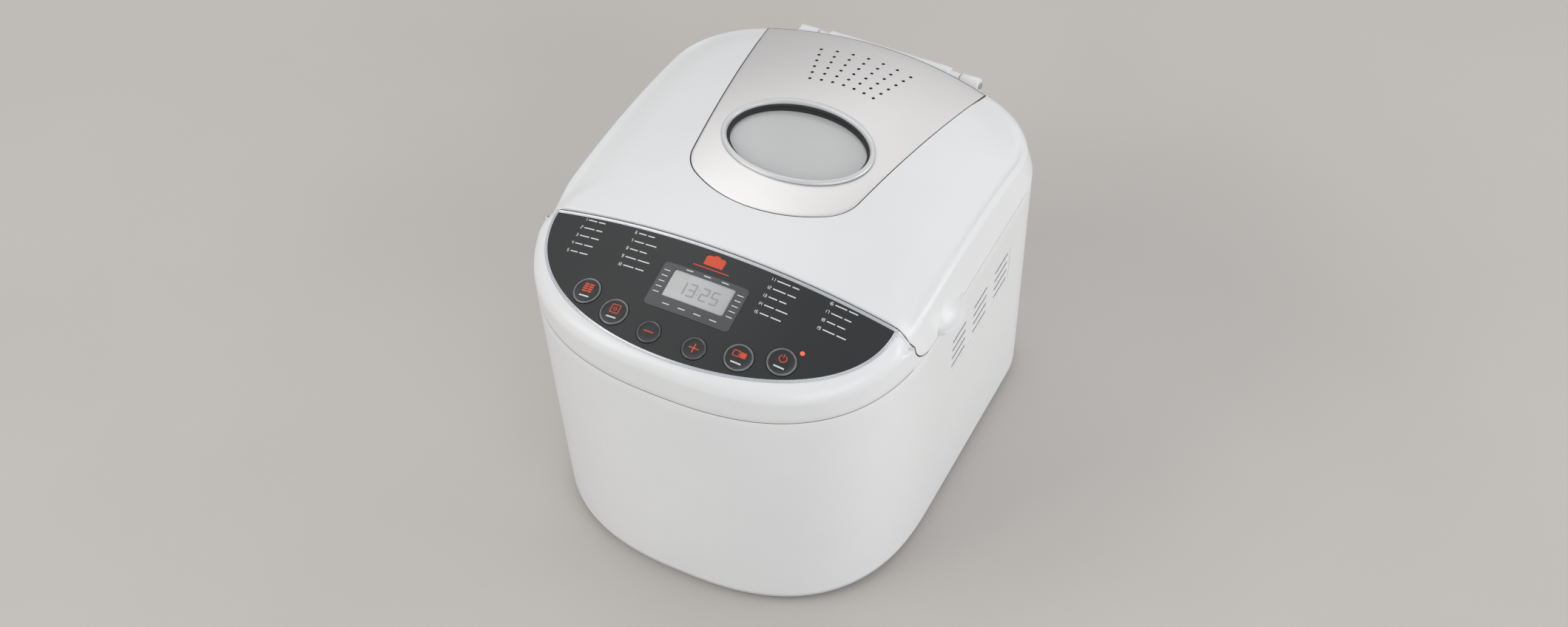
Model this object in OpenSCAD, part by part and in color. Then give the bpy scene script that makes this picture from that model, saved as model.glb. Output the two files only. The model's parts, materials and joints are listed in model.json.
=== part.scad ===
// Table-top bread machine: bow-fronted housing, domed lid with an oval window, sloping control deck,
// and the baking chamber, pan, paddle, heater and belt drive inside. Millimetres, +Z up, front towards -Y.

/* [Body] */
// Width of the body at the line where the lid and the shroud meet the housing
body_w = 280; // [270:1:340]
// Depth of the body from the front bow to the back of the lid
body_d = 342; // [330:1:415]
// Height of the parting line above the table
parting_z = 200; // [190:1:245]
// Wall thickness of the housing and the shroud
wall = 3; // [2.4:0.1:4]
// Inward lean of the side and rear walls, in degrees
draft = 1.6; // [0:0.1:2.5]
// Depth of the curved front, from its foremost point to where the sides run straight
bow_d = 125; // [105:1:150]
// Squareness of the front bow: 2 is an ellipse
bow_n = 2.5; // [2:0.1:3]
// Radius of the rear corners in plan
corner_r = 64; // [50:1:72]
// Radius of the bowed rear edge in plan
rear_r = 344; // [280:1:600]
// Height of the feet below the housing
foot_h = 4; // [3:0.5:8]
// Gap that shows between the housing and what stands on it
parting_gap = 0.4; // [0.3:0.1:0.8]

/* [Lid] */
// Height of the lid's crown above the parting line
crown_h = 55.5; // [50:0.5:80]
// Crown radius of the lid across its width
crown_rx = 507; // [450:1:800]
// Crown radius of the lid from front to back
crown_ry = 647; // [500:1:900]
// Distance from the front of the body to the lid's highest line
crown_from_front = 168; // [140:1:200]
// Depth of the control deck in front of the lid
deck_d = 92.5; // [90:0.5:105]
// Thickness of the lid shell
lid_wall = 2.8; // [2:0.1:3.5]
// Gap between the lid and the shroud
lid_gap = 1; // [0.8:0.1:1.6]
// Radius of the lid's lower front corner, seen from the side
lid_corner_r = 21; // [14:0.5:26]
// Length of each lift tab along the side of the lid
tab_len = 40; // [24:1:60]
// How far each lift tab stands out
tab_out = 10; // [6:0.5:14]
// Thickness of each lift tab
tab_t = 4.5; // [3:0.5:6]
// Distance from the lid's front edge to the middle of a lift tab
tab_from_front = 51.5; // [45:0.5:90]
// Thickness of the liner sheet
liner_t = 0.8; // [0.6:0.1:1.5]
// Depth of the liner's ceiling below the lid's outer surface
liner_drop = 12.2; // [11:0.1:16]

/* [Insert and window] */
// Half width of the steel insert at its rear corners
insert_hw = 85.6; // [75:0.1:95]
// Distance from the lid's front edge to the insert's rear corners
insert_back = 227; // [215:0.5:235]
// Distance from the lid's front edge to the insert's foremost point
insert_front = 38; // [30:0.5:50]
// Taper of the insert: how much each side draws in per millimetre towards the front
insert_taper = 0.154; // [0.1:0.002:0.2]
// Radius of the insert's front bow
insert_front_r = 87; // [80:1:110]
// Radius of the insert's front corners
insert_corner_r = 30; // [15:1:40]
// Radius of the insert's rear bow
insert_rear_r = 344; // [280:1:600]
// Thickness of the insert sheet
insert_t = 0.9; // [0.6:0.1:1.5]
// Rows of vent holes
vent_rows = 6; // [3:1:6]
// Columns of vent holes
vent_cols = 7; // [3:1:9]
// Radius of the innermost row of vent holes about the fan's centre
vent_r0 = 92.4; // [88:0.1:100]
// Spacing of the rows
vent_pitch = 7.97; // [6:0.01:8.5]
// Angle between the columns, in degrees
vent_step = 5.15; // [4:0.05:6]
// Diameter of a vent hole
vent_hole_d = 2.4; // [1.6:0.1:3.4]
// Distance from the lid's front edge to the window's centre
window_from_front = 107.5; // [100:0.5:112]
// Half length of the window ring
window_rx = 55.1; // [45:0.1:58]
// Half width of the window ring
window_ry = 40.7; // [34:0.1:42]
// Width of the window ring's seat on the insert
ring_w = 3.6; // [2.5:0.1:5]
// Height of the window ring above the insert
ring_up = 2.4; // [1:0.1:4]
// Thickness of the window glass
glass_t = 3; // [2:0.5:4]
// Depth of the glass below the lid's surface at the window's centre
glass_drop = 6.5; // [6:0.1:7]

/* [Control panel] */
// Half width of the dark panel
panel_hw = 125; // [118:0.5:126]
// Depth of the dark panel from its back edge to its foremost point
panel_d = 80.5; // [74:0.5:82]
// Distance from the panel's back edge to the lid
panel_back_gap = 3.5; // [3:0.1:6]
// Forward slope of the panel, in degrees
panel_tilt = 12.9; // [8:0.1:16]
// Step from the lid down to the panel along its back edge
panel_step = 1.6; // [0.5:0.1:3]
// Thickness of the panel
panel_t = 2; // [1.5:0.1:3]
// Width of the bezel round the panel
bezel_w = 2; // [1:0.1:2.2]
// Height of the bezel above the panel
bezel_up = 0.5; // [0.2:0.1:1]
// Half width of the display frame
lcd_hw = 31.2; // [26:0.1:36]
// Depth of the display frame
lcd_d = 34; // [28:0.5:38]
// Distance from the panel's back edge to the display frame
lcd_from_back = 17.5; // [12:0.5:20]
// Half width of the display screen
screen_hw = 22.5; // [14:0.5:24]
// Depth of the display screen
screen_d = 21; // [12:0.5:22]

/* [Buttons] */
// Radius of the two outer pairs of buttons
big_button_r = 9.8; // [8:0.1:10.2]
// Radius of the two middle buttons
small_button_r = 8.2; // [6:0.1:9]
// Clearance round each button
button_gap = 0.3; // [0.2:0.05:0.5]
// Height of each button above the panel
button_up = 1.1; // [1:0.1:2]
// Travel of each button
button_travel = 0.8; // [0.5:0.1:1]
// Distance of the middle pair from the centre line
button_x1 = 16.5; // [14:0.5:18]
// Distance of the second pair from the centre line
button_x2 = 45.6; // [42:0.1:48]
// Distance of the outer pair from the centre line
button_x3 = 71.4; // [68:0.1:76]
// Distance of the middle pair from the panel's back edge, along the slope
button_y1 = 69.7; // [66:0.1:71]
// Distance of the second pair from the panel's back edge, along the slope
button_y2 = 64.2; // [60:0.1:66]
// Distance of the outer pair from the panel's back edge, along the slope
button_y3 = 55.4; // [50:0.1:58]

/* [Side vents] */
// Groups of slots on each side
slot_groups = 3; // [1:1:4]
// Slots in each group
slot_rows = 4; // [2:1:6]
// Length of a slot
slot_len = 22; // [12:0.5:28]
// Height of a slot
slot_h = 2.4; // [1.5:0.1:3.5]
// Spacing of the groups
slot_group_pitch = 35.3; // [30:0.1:40]
// Spacing of the slots
slot_pitch = 8.27; // [6:0.01:10]
// Distance from the parting line down to the top slot
slot_down = 37.3; // [20:0.1:60]
// Distance from the front of the body to the first slot
slot_from_front = 152.5; // [140:0.5:170]

/* [Hinge] */
// How far the hinge stands out behind the lid
hinge_out = 8; // [8:0.1:9]
// Radius of the hinge barrel
barrel_r = 7; // [6:0.1:8]
// Height of the hinge axis above the parting line
hinge_up = 14; // [12:0.5:18]
// Half length of the lid's hinge barrel
barrel_hl = 48; // [40:1:50]
// Radius of the narrow sleeve at each end of the barrel
sleeve_r = 4.8; // [4:0.1:5.5]
// Distance from the centre line to each hinge ear
ear_x = 57; // [54:1:60]
// Width of each hinge ear
ear_w = 15; // [10:1:18]
// Radius of a hinge pin
hinge_pin_r = 2.5; // [2:0.1:3]
// Running clearance of the shafts and pins, on the radius
run_gap = 0.05; // [0.03:0.01:0.09]

/* [Baking chamber] */
// Space between the body's side and the chamber
chamber_side = 36; // [34:1:60]
// Space between the lid's front edge and the chamber
chamber_front = 11.3; // [11:0.1:20]
// Space between the bowed back of the body and the chamber, at the chamber's corners
chamber_rear = 14; // [13.5:0.1:30]
// Corner radius of the chamber
chamber_r = 30; // [24:1:40]
// Height of the chamber floor
chamber_floor_z = 36; // [34:1:45]
// Sheet thickness of the chamber
chamber_t = 1.2; // [0.8:0.1:2]
// Depth of the chamber's deck below the parting line
deck_down = 2.2; // [2:0.1:4]
// Thickness of the deck
deck_t = 3; // [2:0.5:4]
// Radius of the heating element's tube
element_r = 3.25; // [2.5:0.05:4]
// Height of the heating element above the chamber floor
element_up = 26; // [20:1:40]
// Space between the chamber wall and the middle of the heating element
element_in = 13; // [10:0.5:16]

/* [Bread pan] */
// Space between the chamber wall and the pan's rim at the sides
pan_side_gap = 27; // [24:1:40]
// Space between the chamber wall and the pan's rim at the ends
pan_end_gap = 10; // [10:0.5:20]
// Width of the pan's rolled rim
pan_rim_w = 4; // [3:0.5:6]
// Height of the pan above its seat
pan_h = 116; // [100:1:130]
// How much the pan draws in towards its bottom, each side
pan_taper = 6; // [2:0.5:10]
// Wall of the pan
pan_t = 1.8; // [1.2:0.1:3]
// Corner radius of the pan
pan_r = 22; // [14:1:30]
// Height of the pan's bottom above the chamber floor
pan_up = 8; // [7:0.5:10]
// Reach of the bail handle from its pivots
bail_reach = 38; // [36:1:40]
// Radius of the bail's wire
bail_r = 2.2; // [1.5:0.1:2.5]

/* [Drive] */
// Radius of the belt's run on the large pulley
big_pulley_r = 42; // [34:1:48]
// Radius of the belt's run on the small pulley
small_pulley_r = 8.4; // [7:0.1:12]
// Width of the drive belt
belt_w = 8; // [6:0.5:9]
// Thickness of the drive belt
belt_t = 2; // [1.5:0.1:2.5]
// Radius of the drive shaft and of the pan shaft
shaft_r = 4; // [3:0.1:5]
// Distance from the centre line to the motor
motor_x = 45; // [30:1:60]
// Distance from the front of the body to the motor's shaft
motor_from_front = 48; // [45:1:52]
// Radius of the motor
motor_r = 34; // [26:1:36]
// Height of the motor
motor_h = 62; // [45:1:75]

/* [Cord gland] */
// Radius of the gland's bore
gland_bore_r = 3.6; // [3:0.1:4.5]
// Distance from the centre line to the gland
gland_x = 36; // [30:1:40]
// Height of the gland above the table
gland_z = 28; // [24:1:40]

/* [Hidden] */
$fn = 96;

white = [0.93, 0.93, 0.93];
steel = [0.75, 0.75, 0.76];
dark = [0.2, 0.2, 0.21];
green = [0.1, 0.35, 0.2];
black = [0.08, 0.08, 0.08];
brass = [0.75, 0.6, 0.3];
grey = [0.45, 0.46, 0.48];
ceramic = [0.85, 0.82, 0.74];

// Plan of the body
half_w = body_w / 2;
front_y = -(body_d + hinge_out) / 2;
rear_y = front_y + body_d;
bow_y = front_y + bow_d;
corner_x = half_w - corner_r;
corner_y = rear_y - rear_r + sqrt(pow(rear_r - corner_r, 2) - pow(corner_x, 2));
corner_a = acos(corner_x / (rear_r - corner_r));
plate_in = 5;
flange_in = 18;
plate_t = 3.6;
flange_t = 3;
edge_r = 6;
plate_top = foot_h + plate_t;
flange_z = plate_top + 0.2;
housing_top = parting_z - parting_gap;
big = 400;

// Base and gland
screw_r = 1.6;
screw_in = 16;
front_screw_x = 62;
rear_screw_x = 60;
screw_spots = [for (s = [-1, 1]) each [
    [s * (half_w - screw_in), bow_y + 20],
    [s * (half_w - screw_in), corner_y - 8],
    [s * front_screw_x,
        bow_y - (bow_d - 12) * pow(1 - pow(front_screw_x / (half_w - screw_in), bow_n), 1 / bow_n)],
    [s * rear_screw_x, rear_y - rear_r + sqrt(pow(rear_r - screw_in, 2) - pow(rear_screw_x, 2))]]];
foot_r = 8;
foot_stem_r = 3.5;
foot_spots = [for (s = [-1, 1]) each [[s * (half_w - 45), front_y + 65], [s * (half_w - 42), corner_y + 23.5]]];
pad_r = 11;
gland_wall = 5;
gland_body_r = 7;
gland_face = rear_y - rear_r - 0.3
    + sqrt(pow(rear_r - (parting_z - gland_z) * tan(draft), 2) - pow(gland_x + pad_r, 2));

// Lid
lid_z0 = parting_z + parting_gap;
lid_front = front_y + deck_d;
lid_corner_w = 6;
crown_z = parting_z + crown_h;
crown_y = front_y + crown_from_front;
hinge_y = rear_y + hinge_out - barrel_r;
hinge_z = parting_z + hinge_up;
window_y = lid_front + window_from_front;
window_slope = atan((window_y - crown_y) / crown_ry);
opening_rx = window_rx - ring_w;
opening_ry = window_ry - ring_w;
insert_rear_y = lid_front + insert_back;
insert_front_y = lid_front + insert_front;
pocket_gap = 0.4;
vent_cy = insert_rear_y - 142.2;
vent_out = vent_r0 + (vent_rows - 1) * vent_pitch + 5;
vent_half = vent_step * (vent_cols - 1) / 2 + 3;
neck_t = 1.8;
band_t = 2.6;
tab_y = lid_front + tab_from_front;
ear_mid = ear_x + ear_w / 2;
pin_in = barrel_hl - 8;
liner_z = parting_z + 3;
liner_grow = 5;

// Control deck
panel_y = lid_front - panel_back_gap;
panel_z = crown_z - pow(panel_y - crown_y, 2) / (2 * crown_ry) - panel_step;
shroud_back = lid_front - lid_gap;
lcd_y = -lcd_from_back - lcd_d / 2;
screen_y = lcd_y + 3;
light_r = 1.5;
board_posts = [[-98, -16], [98, -16], [-58, -38], [58, -38]];
board_drop = 24;
board_t = 1.6;
switch_h = 4;
switch_top = -board_drop + board_t + switch_h + 1;
stem_end = switch_top + button_travel + 0.3;
panel_seat = panel_t + 0.2;
ledge_w = 1.2;
deck_plate = 4.5;
flange_w = 0.9;

// Chamber and pan
chamber_hx = half_w - chamber_side - chamber_t;
chamber_y0 = lid_front + chamber_front + chamber_t;
chamber_y1 = rear_y - rear_r + sqrt(pow(rear_r, 2) - pow(chamber_hx - chamber_r, 2))
    - chamber_rear - chamber_t;
chamber_cy = (chamber_y0 + chamber_y1) / 2;
chamber_hy = (chamber_y1 - chamber_y0) / 2;
deck_top = parting_z - deck_down;
element_z = chamber_floor_z + element_up;
element_hx = chamber_hx - element_in;
element_hy = chamber_hy - 9;
element_bend = 20;
terminal_x = 18;
terminal_bend = 8;
insulator_r = 5.5;
sensor_r = 3;
sensor_x = -60;
sensor_z = 110;
bush_r = 8;
pan_boss_h = 6;
pan_z0 = chamber_floor_z + pan_up;
pan_z1 = pan_z0 + pan_h;
pan_hx = chamber_hx - pan_side_gap - pan_rim_w;
pan_hy = chamber_hy - pan_end_gap - pan_rim_w;
ear_plate_t = 1.6;
bail_z = pan_z1 + 6.5;
bail_y = pan_hy + pan_rim_w + 3.2;
seat_r = 46;

liner_spots = [for (s = [-1, 1]) each
    [[s * (chamber_hx + 15), lid_front + 42], [s * (chamber_hx + 14), corner_y + 7.5]]];

// Drive
motor_shaft_r = 3.2;
bracket_t = 2.5;
bracket_legs = [[-26, -8], [26, -8], [-34, 32], [34, 32]];
motor_y = front_y + motor_from_front;
pulley_z = plate_top + 8;
pulley_h = belt_w + 4;
belt_z = pulley_z + 2;
bracket_z = pulley_z + pulley_h + 6;
bush_z = pulley_z + pulley_h + 1;
coupling_z = chamber_floor_z + 0.6;

button_spots = [
    [-button_x3, -button_y3, big_button_r], [-button_x2, -button_y2, big_button_r],
    [-button_x1, -button_y1, small_button_r], [button_x1, -button_y1, small_button_r],
    [button_x2, -button_y2, big_button_r], [button_x3, -button_y3, big_button_r]];
light_spot = [80.5, -44.3];

// ---- outlines ----

function arc(cx, cy, r, a0, a1, n, first = 0) =
    [for (i = [first:n]) [cx + r * cos(a0 + (a1 - a0) * i / n), cy + r * sin(a0 + (a1 - a0) * i / n)]];

function bend(v, n) = sign(v) * pow(abs(v), 2 / n);

// Plan of the body, drawn in by side at the sides and the rear and by front at the bow
function plan(side, front) = concat(
    [for (i = [0:40]) [(half_w - side) * bend(cos(180 + 180 * i / 40), bow_n),
        bow_y - (bow_d - front) * abs(bend(sin(180 + 180 * i / 40), bow_n))]],
    arc(corner_x, corner_y, corner_r - side, 0, corner_a, 10),
    arc(0, rear_y - rear_r, rear_r - side, corner_a, 180 - corner_a, 12, 1),
    arc(-corner_x, corner_y, corner_r - side, 180 - corner_a, 180, 10, 1));

// Rounded rectangle about [0, cy]
function rounded(hx, hy, r, cy = 0) = concat(
    arc(hx - r, cy + hy - r, r, 0, 90, 10), arc(r - hx, cy + hy - r, r, 90, 180, 10),
    arc(r - hx, cy + r - hy, r, 180, 270, 10), arc(hx - r, cy + r - hy, r, 270, 360, 10));

function oval(rx, ry, n = 72) = [for (i = [0:n - 1]) [rx * cos(360 * i / n), ry * sin(360 * i / n)]];

// Half ellipse of the control panel in plan, grown by g
function panel_shape(g) = let (e = asin(g / (panel_d + g)))
    [for (i = [0:48]) let (a = 180 - e + (180 + 2 * e) * i / 48)
        [(panel_hw + g) * cos(a), (panel_d + g) * sin(a)]];

// Steel insert: a bowed rear edge, straight converging sides, round front corners and a bowed front
insert_dir = [insert_taper, 1] / norm([insert_taper, 1]);
insert_nrm = [insert_dir.y, -insert_dir.x];
front_c = [0, insert_front_y + insert_front_r];
corner_q = [insert_hw, insert_rear_y] - insert_corner_r * insert_nrm - front_c;
corner_s = -(corner_q * insert_dir)
    - sqrt(pow(corner_q * insert_dir, 2) - corner_q * corner_q + pow(insert_front_r - insert_corner_r, 2));
corner_c = front_c + corner_q + corner_s * insert_dir;
corner_a0 = atan2(corner_c.y - front_c.y, corner_c.x);
corner_a1 = atan2(insert_nrm.y, insert_nrm.x);
rear_cy = insert_rear_y - insert_rear_r * sin(acos(insert_hw / insert_rear_r));
function rear_a(g) = acos((insert_hw + g) / (insert_rear_r + g));
function insert_shape(g) = concat(
    arc(0, front_c.y, insert_front_r + g, -180 - corner_a0, corner_a0, 24),
    arc(corner_c.x, corner_c.y, insert_corner_r + g, corner_a0, corner_a1, 10, 1),
    arc(0, rear_cy, insert_rear_r + g, rear_a(g), 180 - rear_a(g), 24),
    arc(-corner_c.x, corner_c.y, insert_corner_r + g, 180 - corner_a1, 180 - corner_a0, 10));

// ---- shared shapes ----

module loft(rings) {
    n = len(rings[0]);
    m = len(rings) - 1;
    polyhedron(
        points = [for (r = rings) each r],
        faces = concat(
            [[for (i = [0:n - 1]) i]],
            [for (k = [0:m - 1], i = [0:n - 1]) [k * n + i, (k + 1) * n + i, (k + 1) * n + (i + 1) % n]],
            [for (k = [0:m - 1], i = [0:n - 1]) [k * n + i, (k + 1) * n + (i + 1) % n, k * n + (i + 1) % n]],
            [[for (i = [0:n - 1]) m * n + n - 1 - i]]));
}

function lean(z) = (parting_z - z) * tan(draft);
function ring(z, side, front) = [for (p = plan(lean(z) + side, front)) [p.x, p.y, z]];

module slab(points, z0, z1) {
    translate([0, 0, z0]) linear_extrude(z1 - z0) polygon(points);
}

module tub(outer, inner, z0, z1) {
    difference() {
        slab(outer, z0, z1);
        slab(inner, z0 - 1, z1 + 1);
    }
}

module rod_x(r, x0, x1) {
    translate([x0, 0, 0]) rotate([0, 90, 0]) cylinder(r = r, h = x1 - x0);
}

module rod_y(r, y0, y1) {
    translate([0, y1, 0]) rotate([90, 0, 0]) cylinder(r = r, h = y1 - y0);
}

// Everything below the lid's crowned surface, lowered by drop
module under_crown(drop) {
    translate([0, crown_y, crown_z - crown_ry]) rotate([0, -90, 0]) rotate([0, 0, -22])
        rotate_extrude(angle = 44, $fn = 360) intersection() {
            translate([crown_ry - crown_rx, 0]) circle(r = crown_rx - drop, $fn = 720);
            translate([crown_ry - 90, -170]) square([120, 340]);
        }
}

// Solid of the lid, drawn in by t all round
module lid_solid(t) {
    intersection() {
        difference() {
            slab(plan(t, t), lid_z0 - (t > 0 ? 1 : 0), crown_z + 5);
            translate([-big / 2, lid_front + t - big, 0]) cube([big, big, big]);
            lid_corner(t);
        }
        under_crown(t);
    }
}

// What rounds the lower front corner of each side of the lid
module lid_corner(t) {
    y = lid_front + lid_corner_r;
    z = lid_z0 + lid_corner_r;
    for (s = [-1, 1]) difference() {
        translate([s * (half_w - lid_corner_w - t + big / 2) - big / 2, y - big, z - big]) cube(big);
        translate([0, y, z]) rod_x(lid_corner_r - t, -big, big);
    }
}

module on_panel() {
    translate([0, panel_y, panel_z]) rotate([panel_tilt, 0, 0]) children();
}

// Everything below the crowned surface of the control deck, raised by up, in the plane of the panel
module deck_body(up) {
    translate([0, 0, up - crown_rx]) intersection() {
        rod_y(crown_rx, -140, 80, $fn = 720);
        translate([-180, -140, crown_rx - 90]) cube([360, 220, 100]);
    }
}

// Upright block with the outline of the control panel
module panel_block(g) {
    translate([0, panel_y, 0]) slab(panel_shape(g), parting_z - 10, crown_z + 20);
}

// ---- housing and base ----

module outer_housing() {
    color(white) difference() {
        union() {
            difference() {
                loft([ring(foot_h, 2.6, 2.6), ring(foot_h + 1.6, 1, 1), ring(foot_h + edge_r, 0, 0),
                    ring(housing_top, 0, 0)]);
                loft([ring(flange_z + flange_t, wall, wall), ring(parting_z + 1, wall, wall)]);
                slab(plan(lean(foot_h) + plate_in, plate_in), foot_h - 1, flange_z);
                slab(plan(lean(foot_h) + flange_in, flange_in), foot_h, flange_z + flange_t + 1);
            }
            // Ledge that carries the deck
            difference() {
                slab(plan(wall - 0.5, wall - 0.5), deck_top - deck_t - 3, deck_top - deck_t);
                slab(plan(wall + 4, wall + 4), deck_top - deck_t - 4, deck_top);
            }
            translate([gland_x - pad_r, gland_face - gland_wall, gland_z - pad_r])
                cube([2 * pad_r, gland_wall, 2 * pad_r]);
        }
        side_slots();
        translate([gland_x - pad_r, gland_face, gland_z - pad_r]) cube([2 * pad_r, 20, 2 * pad_r]);
        translate([gland_x, 0, gland_z]) rod_y(gland_body_r, gland_face - 20, gland_face + 1);
        for (p = screw_spots) translate([p.x, p.y, 0]) cylinder(r = screw_r + run_gap, h = 30);
    }
}

module side_slots() {
    for (s = [-1, 1], g = [0:slot_groups - 1], k = [0:slot_rows - 1])
        translate([s * half_w - 10, front_y + slot_from_front + g * slot_group_pitch,
            parting_z - slot_down - k * slot_pitch - slot_h / 2]) cube([20, slot_len, slot_h]);
}

module base_plate() {
    color(grey) difference() {
        slab(plan(lean(foot_h) + plate_in + 0.4, plate_in + 0.4), foot_h, plate_top);
        for (p = screw_spots) translate([p.x, p.y, 0]) cylinder(r = screw_r + 0.2, h = 30);
        for (p = foot_spots) translate([p.x, p.y, 0]) cylinder(r = foot_stem_r, h = 30);
        for (k = [0:5]) translate([motor_x - 28, motor_y - 16 + 8 * k, 0]) cube([56, 3, 30]);
    }
}

module feet() {
    color(black) for (p = foot_spots) translate([p.x, p.y, 0]) {
        cylinder(r = foot_r, h = foot_h);
        cylinder(r = foot_stem_r, h = plate_top + 1);
    }
}

module base_screws() {
    color(steel) for (p = screw_spots) translate([p.x, p.y, 0]) {
        translate([0, 0, foot_h - 2]) cylinder(r = 3.4, h = 2);
        translate([0, 0, foot_h - 1]) cylinder(r = screw_r, h = 10);
    }
}

module hinge_ears() {
    color(white) for (s = [-1, 1]) difference() {
        union() {
            translate([0, hinge_y, hinge_z]) rod_x(barrel_r, s * ear_mid - ear_w / 2, s * ear_mid + ear_w / 2);
            translate([s * ear_mid - ear_w / 2, hinge_y, hinge_z]) rotate([90, 0, 90]) linear_extrude(ear_w)
                polygon([[-20, -hinge_up - 30], [-4, -hinge_up - 30], [barrel_r, -hinge_up - 8],
                    [barrel_r, 0], [-20, 0]]);
        }
        translate([0, hinge_y, hinge_z]) rod_x(hinge_pin_r + run_gap, s * ear_mid - 20, s * ear_mid + 20);
        // Clear of the lid above the parting line, and flat on the housing below it
        intersection() {
            slab(plan(-0.6, -0.6), parting_z - 1, hinge_z + 30);
            translate([-big / 2, -big / 2, 0]) cube([big, big, hinge_z]);
        }
        loft([ring(parting_z - 60, -0.02, -0.02), ring(parting_z, -0.02, -0.02)]);
    }
}

module cord_gland() {
    color(black) translate([gland_x, 0, gland_z]) difference() {
        union() {
            rod_y(pad_r - 1, gland_face, gland_face + 3);
            rod_y(gland_body_r - 0.1, gland_face - gland_wall - 3, gland_face + 1);
            rod_y(pad_r - 1.5, gland_face - gland_wall - 3, gland_face - gland_wall);
        }
        rod_y(gland_bore_r, gland_face - 30, gland_face + 30);
    }
}

// ---- control deck ----

module shroud_solid(t, top) {
    intersection() {
        slab(plan(t, t), parting_z - (t > 0 ? 1 : 0), crown_z + 5);
        on_panel() deck_body(-top);
        union() {
            translate([-big / 2, shroud_back - t - big, 0]) cube([big, big, big]);
            if (t == 0) shroud_heel();
        }
    }
}

// The foot of the shroud that fills in under the lid's round front corner, on each side
module shroud_heel() {
    y = lid_front + lid_corner_r;
    z = lid_z0 + lid_corner_r;
    for (s = [-1, 1]) difference() {
        translate([s * (half_w - lid_corner_w + lid_gap + 10) - 10, shroud_back - 1, parting_z])
            cube([20, lid_corner_r - 7.5, lid_corner_r]);
        translate([0, y, z]) rod_x(lid_corner_r + lid_gap, -big, big);
    }
}

module control_shroud() {
    color(white) {
        difference() {
            shroud_solid(0, 0);
            shroud_solid(wall, deck_plate);
            difference() {
                panel_block(bezel_w + 0.1);
                on_panel() deck_body(-panel_seat);
            }
            panel_block(-ledge_w);
        }
        // Lip that locates the shroud in the housing
        difference() {
            intersection() {
                union() {
                    slab(plan(wall + 0.3, wall + 0.3), parting_z - 2, parting_z + 4);
                    slab(plan(wall - 0.5, wall - 0.5), parting_z, parting_z + 4);
                }
                translate([-big / 2, -big, 0]) cube([big, big + shroud_back - 4, big]);
            }
            slab(plan(wall + 2.3, wall + 2.3), parting_z - 9, parting_z + 9);
        }
    }
}

module panel_bezel() {
    color(steel) difference() {
        intersection() {
            panel_block(bezel_w);
            on_panel() deck_body(bezel_up);
        }
        on_panel() deck_body(-panel_seat + 0.1);
        panel_block(0);
    }
}

module control_panel() {
    color(dark) {
        difference() {
            intersection() {
                panel_block(-0.1);
                on_panel() deck_body(0);
            }
            on_panel() {
                deck_body(-panel_t);
                for (b = button_spots) translate([b.x, b.y, -40]) cylinder(r = b.z + button_gap, h = 80);
                translate([light_spot.x, light_spot.y, -40]) cylinder(r = light_r + 0.1, h = 80);
                slab(rounded(lcd_hw, lcd_d / 2, 3, lcd_y), -40, 30);
            }
        }
        on_panel() for (p = board_posts) intersection() {
            translate([p.x, p.y, board_t - board_drop]) cylinder(r = 2.5, h = 30);
            deck_body(-panel_t + 0.3);
        }
    }
}

module display_frame() {
    color(grey) on_panel() difference() {
        intersection() {
            slab(rounded(lcd_hw - 0.15, lcd_d / 2 - 0.15, 2.9, lcd_y), -30, 20);
            deck_body(0.25);
        }
        deck_body(-3);
        slab(rounded(screen_hw, screen_d / 2, 1.5, screen_y), -40, 30);
    }
}

module display_screen() {
    color([0.72, 0.73, 0.72]) on_panel() difference() {
        intersection() {
            slab(rounded(screen_hw - 0.1, screen_d / 2 - 0.1, 1.4, screen_y), -30, 20);
            deck_body(-0.5);
        }
        deck_body(-2.8);
    }
}

module control_board() {
    color(green) on_panel() {
        slab(panel_shape(-8), -board_drop, board_t - board_drop);
        slab(rounded(lcd_hw - 2, lcd_d / 2 - 2, 2, lcd_y), board_t - board_drop, -6);
    }
}

module tact_switches() {
    color(black) on_panel() for (b = button_spots) translate([b.x, b.y, board_t - board_drop]) {
        translate([-3.1, -3.1, 0]) cube([6.2, 6.2, switch_h]);
        cylinder(r = 1.7, h = switch_h + 1);
    }
}

module status_light() {
    color([0.9, 0.3, 0.3]) on_panel() intersection() {
        translate([light_spot.x, light_spot.y, board_t - board_drop]) cylinder(r = light_r, h = 40);
        deck_body(0.2);
    }
}

// One push button: a crowned cap, a thin retaining flange under the panel and a stem
module button(b) {
    under = -panel_t - 0.15;
    crown = -b.x * b.x / (2 * crown_rx);
    on_panel() {
        difference() {
            intersection() {
                union() {
                    translate([b.x, b.y, -30]) cylinder(r = b.z, h = 40);
                    intersection() {
                        translate([b.x, b.y, -30]) cylinder(r = b.z + flange_w, h = 40);
                        deck_body(under);
                    }
                }
                deck_body(button_up);
            }
            deck_body(under - 1.2);
        }
        translate([b.x, b.y, stem_end]) cylinder(r = 2.5, h = crown + under - 0.9 - stem_end);
    }
}

module menu_button() { color(dark) button(button_spots[0]); }
module loaf_button() { color(dark) button(button_spots[1]); }
module minus_button() { color(dark) button(button_spots[2]); }
module plus_button() { color(dark) button(button_spots[3]); }
module crust_button() { color(dark) button(button_spots[4]); }
module start_button() { color(dark) button(button_spots[5]); }

module power_board() {
    x = -68;
    y = motor_y - 12;
    z = plate_top + 12;
    color(green) {
        translate([x, y, z]) cube([50, 48, board_t]);
        for (i = [5, 45], j = [5, 43]) translate([x + i, y + j, plate_top]) cylinder(r = 3, h = 12);
        translate([x + 4, y + 12, z + board_t]) cube([24, 26, 22]);
        translate([x + 32, y + 8, z + board_t]) cube([14, 16, 15]);
        translate([x + 38, y + 36, z + board_t]) cylinder(r = 6, h = 20);
    }
}

// ---- baking chamber ----

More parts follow.
